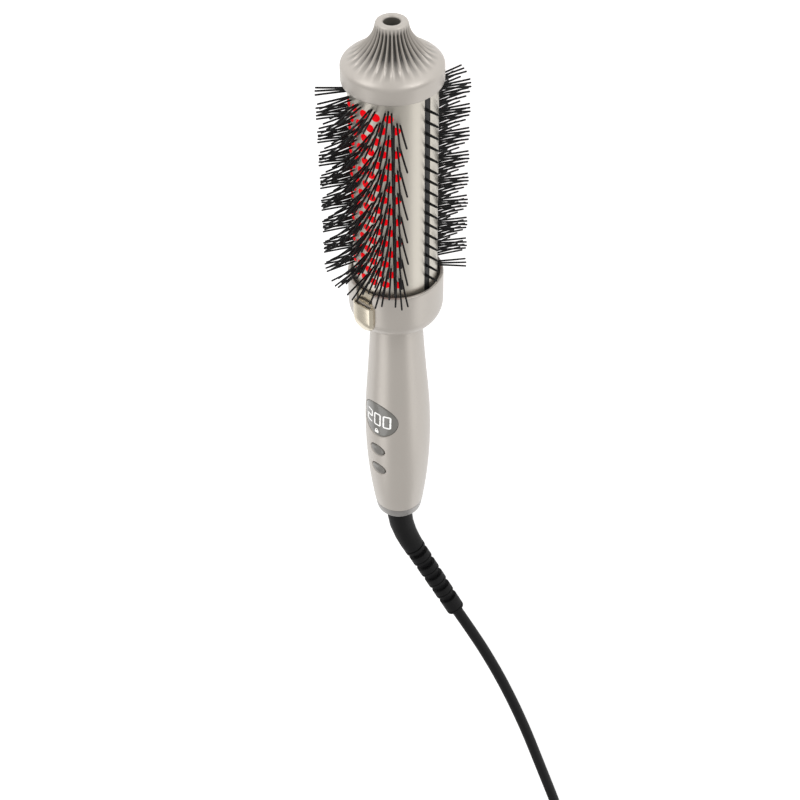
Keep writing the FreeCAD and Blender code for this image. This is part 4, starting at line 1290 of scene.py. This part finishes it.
class BRUSH_OT_inner_parts(bpy.types.Operator):
    """Gives the parts inside the brush their finishes"""

    bl_idname = "brush.inner_parts"
    bl_label = "Inner parts"

    def execute(self, context):
        dress(moulded_plastic("insulator_plastic", (0.42, 0.40, 0.36), 0.5), "tip_core",
              "barrel_seat")
        dress(drawn_metal("heater_aluminium_finish", (0.72, 0.72, 0.73), 0.4), "heater_core")
        dress(ceramic("heater_ceramic_finish", (0.60, 0.55, 0.48)), "ptc_plates")
        dress(bright_plating("can_steel", (0.6, 0.6, 0.6), 0.25), "thermal_fuse",
              "temperature_sensor")
        dress(circuit_board("board_laminate"), "infrared_board_front", "infrared_board_rear",
              "control_board", "power_board")
        dress(moulded_plastic("chassis_plastic", (0.05, 0.05, 0.052), 0.5), "inner_chassis",
              "display_module", "power_button_switch", "mode_button_switch", "ion_generator")
        return {"FINISHED"}


# ---- stage

FLOOR_HALF = 3.0
LAMPS = (
    ("left_softbox", (-0.60, 0.55, 0.48), (0.0, 0.0, 0.03), (0.6, 0.4), 1.0),
    ("right_softbox", (-0.58, -0.78, 0.26), (0.0, 0.0, 0.03), (0.6, 0.4), 0.8),
    ("tip_left_softbox", (0.78, 0.52, 0.42), (0.1, 0.0, 0.03), (0.4, 0.4), 1.9),
    ("tip_right_softbox", (0.78, -0.58, 0.36), (0.1, 0.0, 0.03), (0.4, 0.4), 2.1),
)


class BRUSH_OT_stage(bpy.types.Operator):
    """Makes the white floor, the plain light and the soft lamps"""

    bl_idname = "brush.stage"
    bl_label = "Stage"

    def execute(self, context):
        self.floor()
        self.world(context)
        for row in LAMPS:
            self.lamp(*row)
        context.scene.view_settings.view_transform = "Standard"
        return {"FINISHED"}

    def lamp(self, name, place, aim, size, power):
        """A soft rectangular lamp that looks at a point."""
        data = bpy.data.lights.new(name, "AREA")
        data.shape = "RECTANGLE"
        data.size, data.size_y = size
        data.energy = power
        made = linked(name, data)
        made.location = place
        made.rotation_mode = "QUATERNION"
        made.rotation_quaternion = (Vector(aim) - Vector(place)).to_track_quat("-Z", "Y")

    def seen_by(self, finish, *rays):
        """1 for rays of these kinds."""
        return sum(finish.node("ShaderNodeLightPath", output=f"Is {ray} Ray")
                   for ray in rays).clamped()

    def floor(self):
        """A white floor that keeps the shadow and looks plain white elsewhere."""
        finish = Finish("floor_white")
        grain = finish.blend(finish.noise(90.0), (0.55, 0.55, 0.55), (0.57, 0.57, 0.57))
        card = finish.node("ShaderNodeBsdfDiffuse", {}, {"Color": grain})
        glow = finish.node("ShaderNodeEmission", {}, {"Color": (1, 1, 1), "Strength": 0.85})
        lit = finish.node("ShaderNodeAddShader", {}, {0: card, 1: glow})
        seen = self.seen_by(finish, "Camera", "Glossy", "Transmission")
        both = finish.node("ShaderNodeMixShader", {}, {0: seen, 1: card, 2: lit})
        mesh = bpy.data.meshes.new("floor")
        corners = ((-1, -1), (1, -1), (1, 1), (-1, 1))
        mesh.from_pydata([(x * FLOOR_HALF, y * FLOOR_HALF, 0) for x, y in corners], [],
                         [(0, 1, 2, 3)])
        mesh.materials.append(finish.close(both))
        linked("floor", mesh)

    def world(self, context):
        """A plain pale surround, white where it is seen."""
        finish = Finish("studio", bpy.data.worlds)
        plain, white = (
            finish.node("ShaderNodeBackground", {}, {"Color": tint, "Strength": strength})
            for tint, strength in (((1.0, 0.99, 0.975), 0.64), ((1, 1, 1), 1.0))
        )
        seen = self.seen_by(finish, "Camera", "Transmission")
        both = finish.node("ShaderNodeMixShader", {}, {0: seen, 1: plain, 2: white})
        context.scene.world = finish.close(both, "ShaderNodeOutputWorld")


# ---- add-on

OPERATORS = (
    BRUSH_OT_camera, BRUSH_OT_cord, BRUSH_OT_cap, BRUSH_OT_barrel, BRUSH_OT_bristles,
    BRUSH_OT_windows, BRUSH_OT_combs, BRUSH_OT_collar, BRUSH_OT_ion_outlet, BRUSH_OT_handle,
    BRUSH_OT_display, BRUSH_OT_buttons, BRUSH_OT_end_ring, BRUSH_OT_inner_parts, BRUSH_OT_stage,
)
GROUPS = {
    "brush_head": HeadSizes,
    "brush_handle": HandleSizes,
    "brush_cord": CordSizes,
    "brush_finishes": Finishes,
}


class BRUSH_PT_panel(bpy.types.Panel):
    """Sizes, colours and pieces of the brush"""

    bl_idname = "BRUSH_PT_panel"
    bl_label = "Styling brush"
    bl_space_type = "VIEW_3D"
    bl_region_type = "UI"
    bl_category = "Brush"

    def draw(self, context):
        for name, group in GROUPS.items():
            box = self.layout.box()
            box.label(text=group.__doc__)
            for key in group.__annotations__:
                box.prop(getattr(context.scene, name), key)
        for operator in OPERATORS:
            self.layout.operator(operator.bl_idname)


def register():
    """Registers the sizes, the operators and the panel."""
    for name, group in GROUPS.items():
        bpy.utils.register_class(group)
        setattr(bpy.types.Scene, name, PointerProperty(type=group))
    for shown in (*OPERATORS, BRUSH_PT_panel):
        bpy.utils.register_class(shown)


def unregister():
    """Takes everything out again."""
    for shown in (BRUSH_PT_panel, *reversed(OPERATORS)):
        bpy.utils.unregister_class(shown)
    for name, group in GROUPS.items():
        delattr(bpy.types.Scene, name)
        bpy.utils.unregister_class(group)


def main():
    """Registers the add-on, and builds every piece."""
    register()
    for operator in OPERATORS:
        category, name = operator.bl_idname.split(".")
        getattr(getattr(bpy.ops, category), name)()


if __name__ == "__main__":
    main()
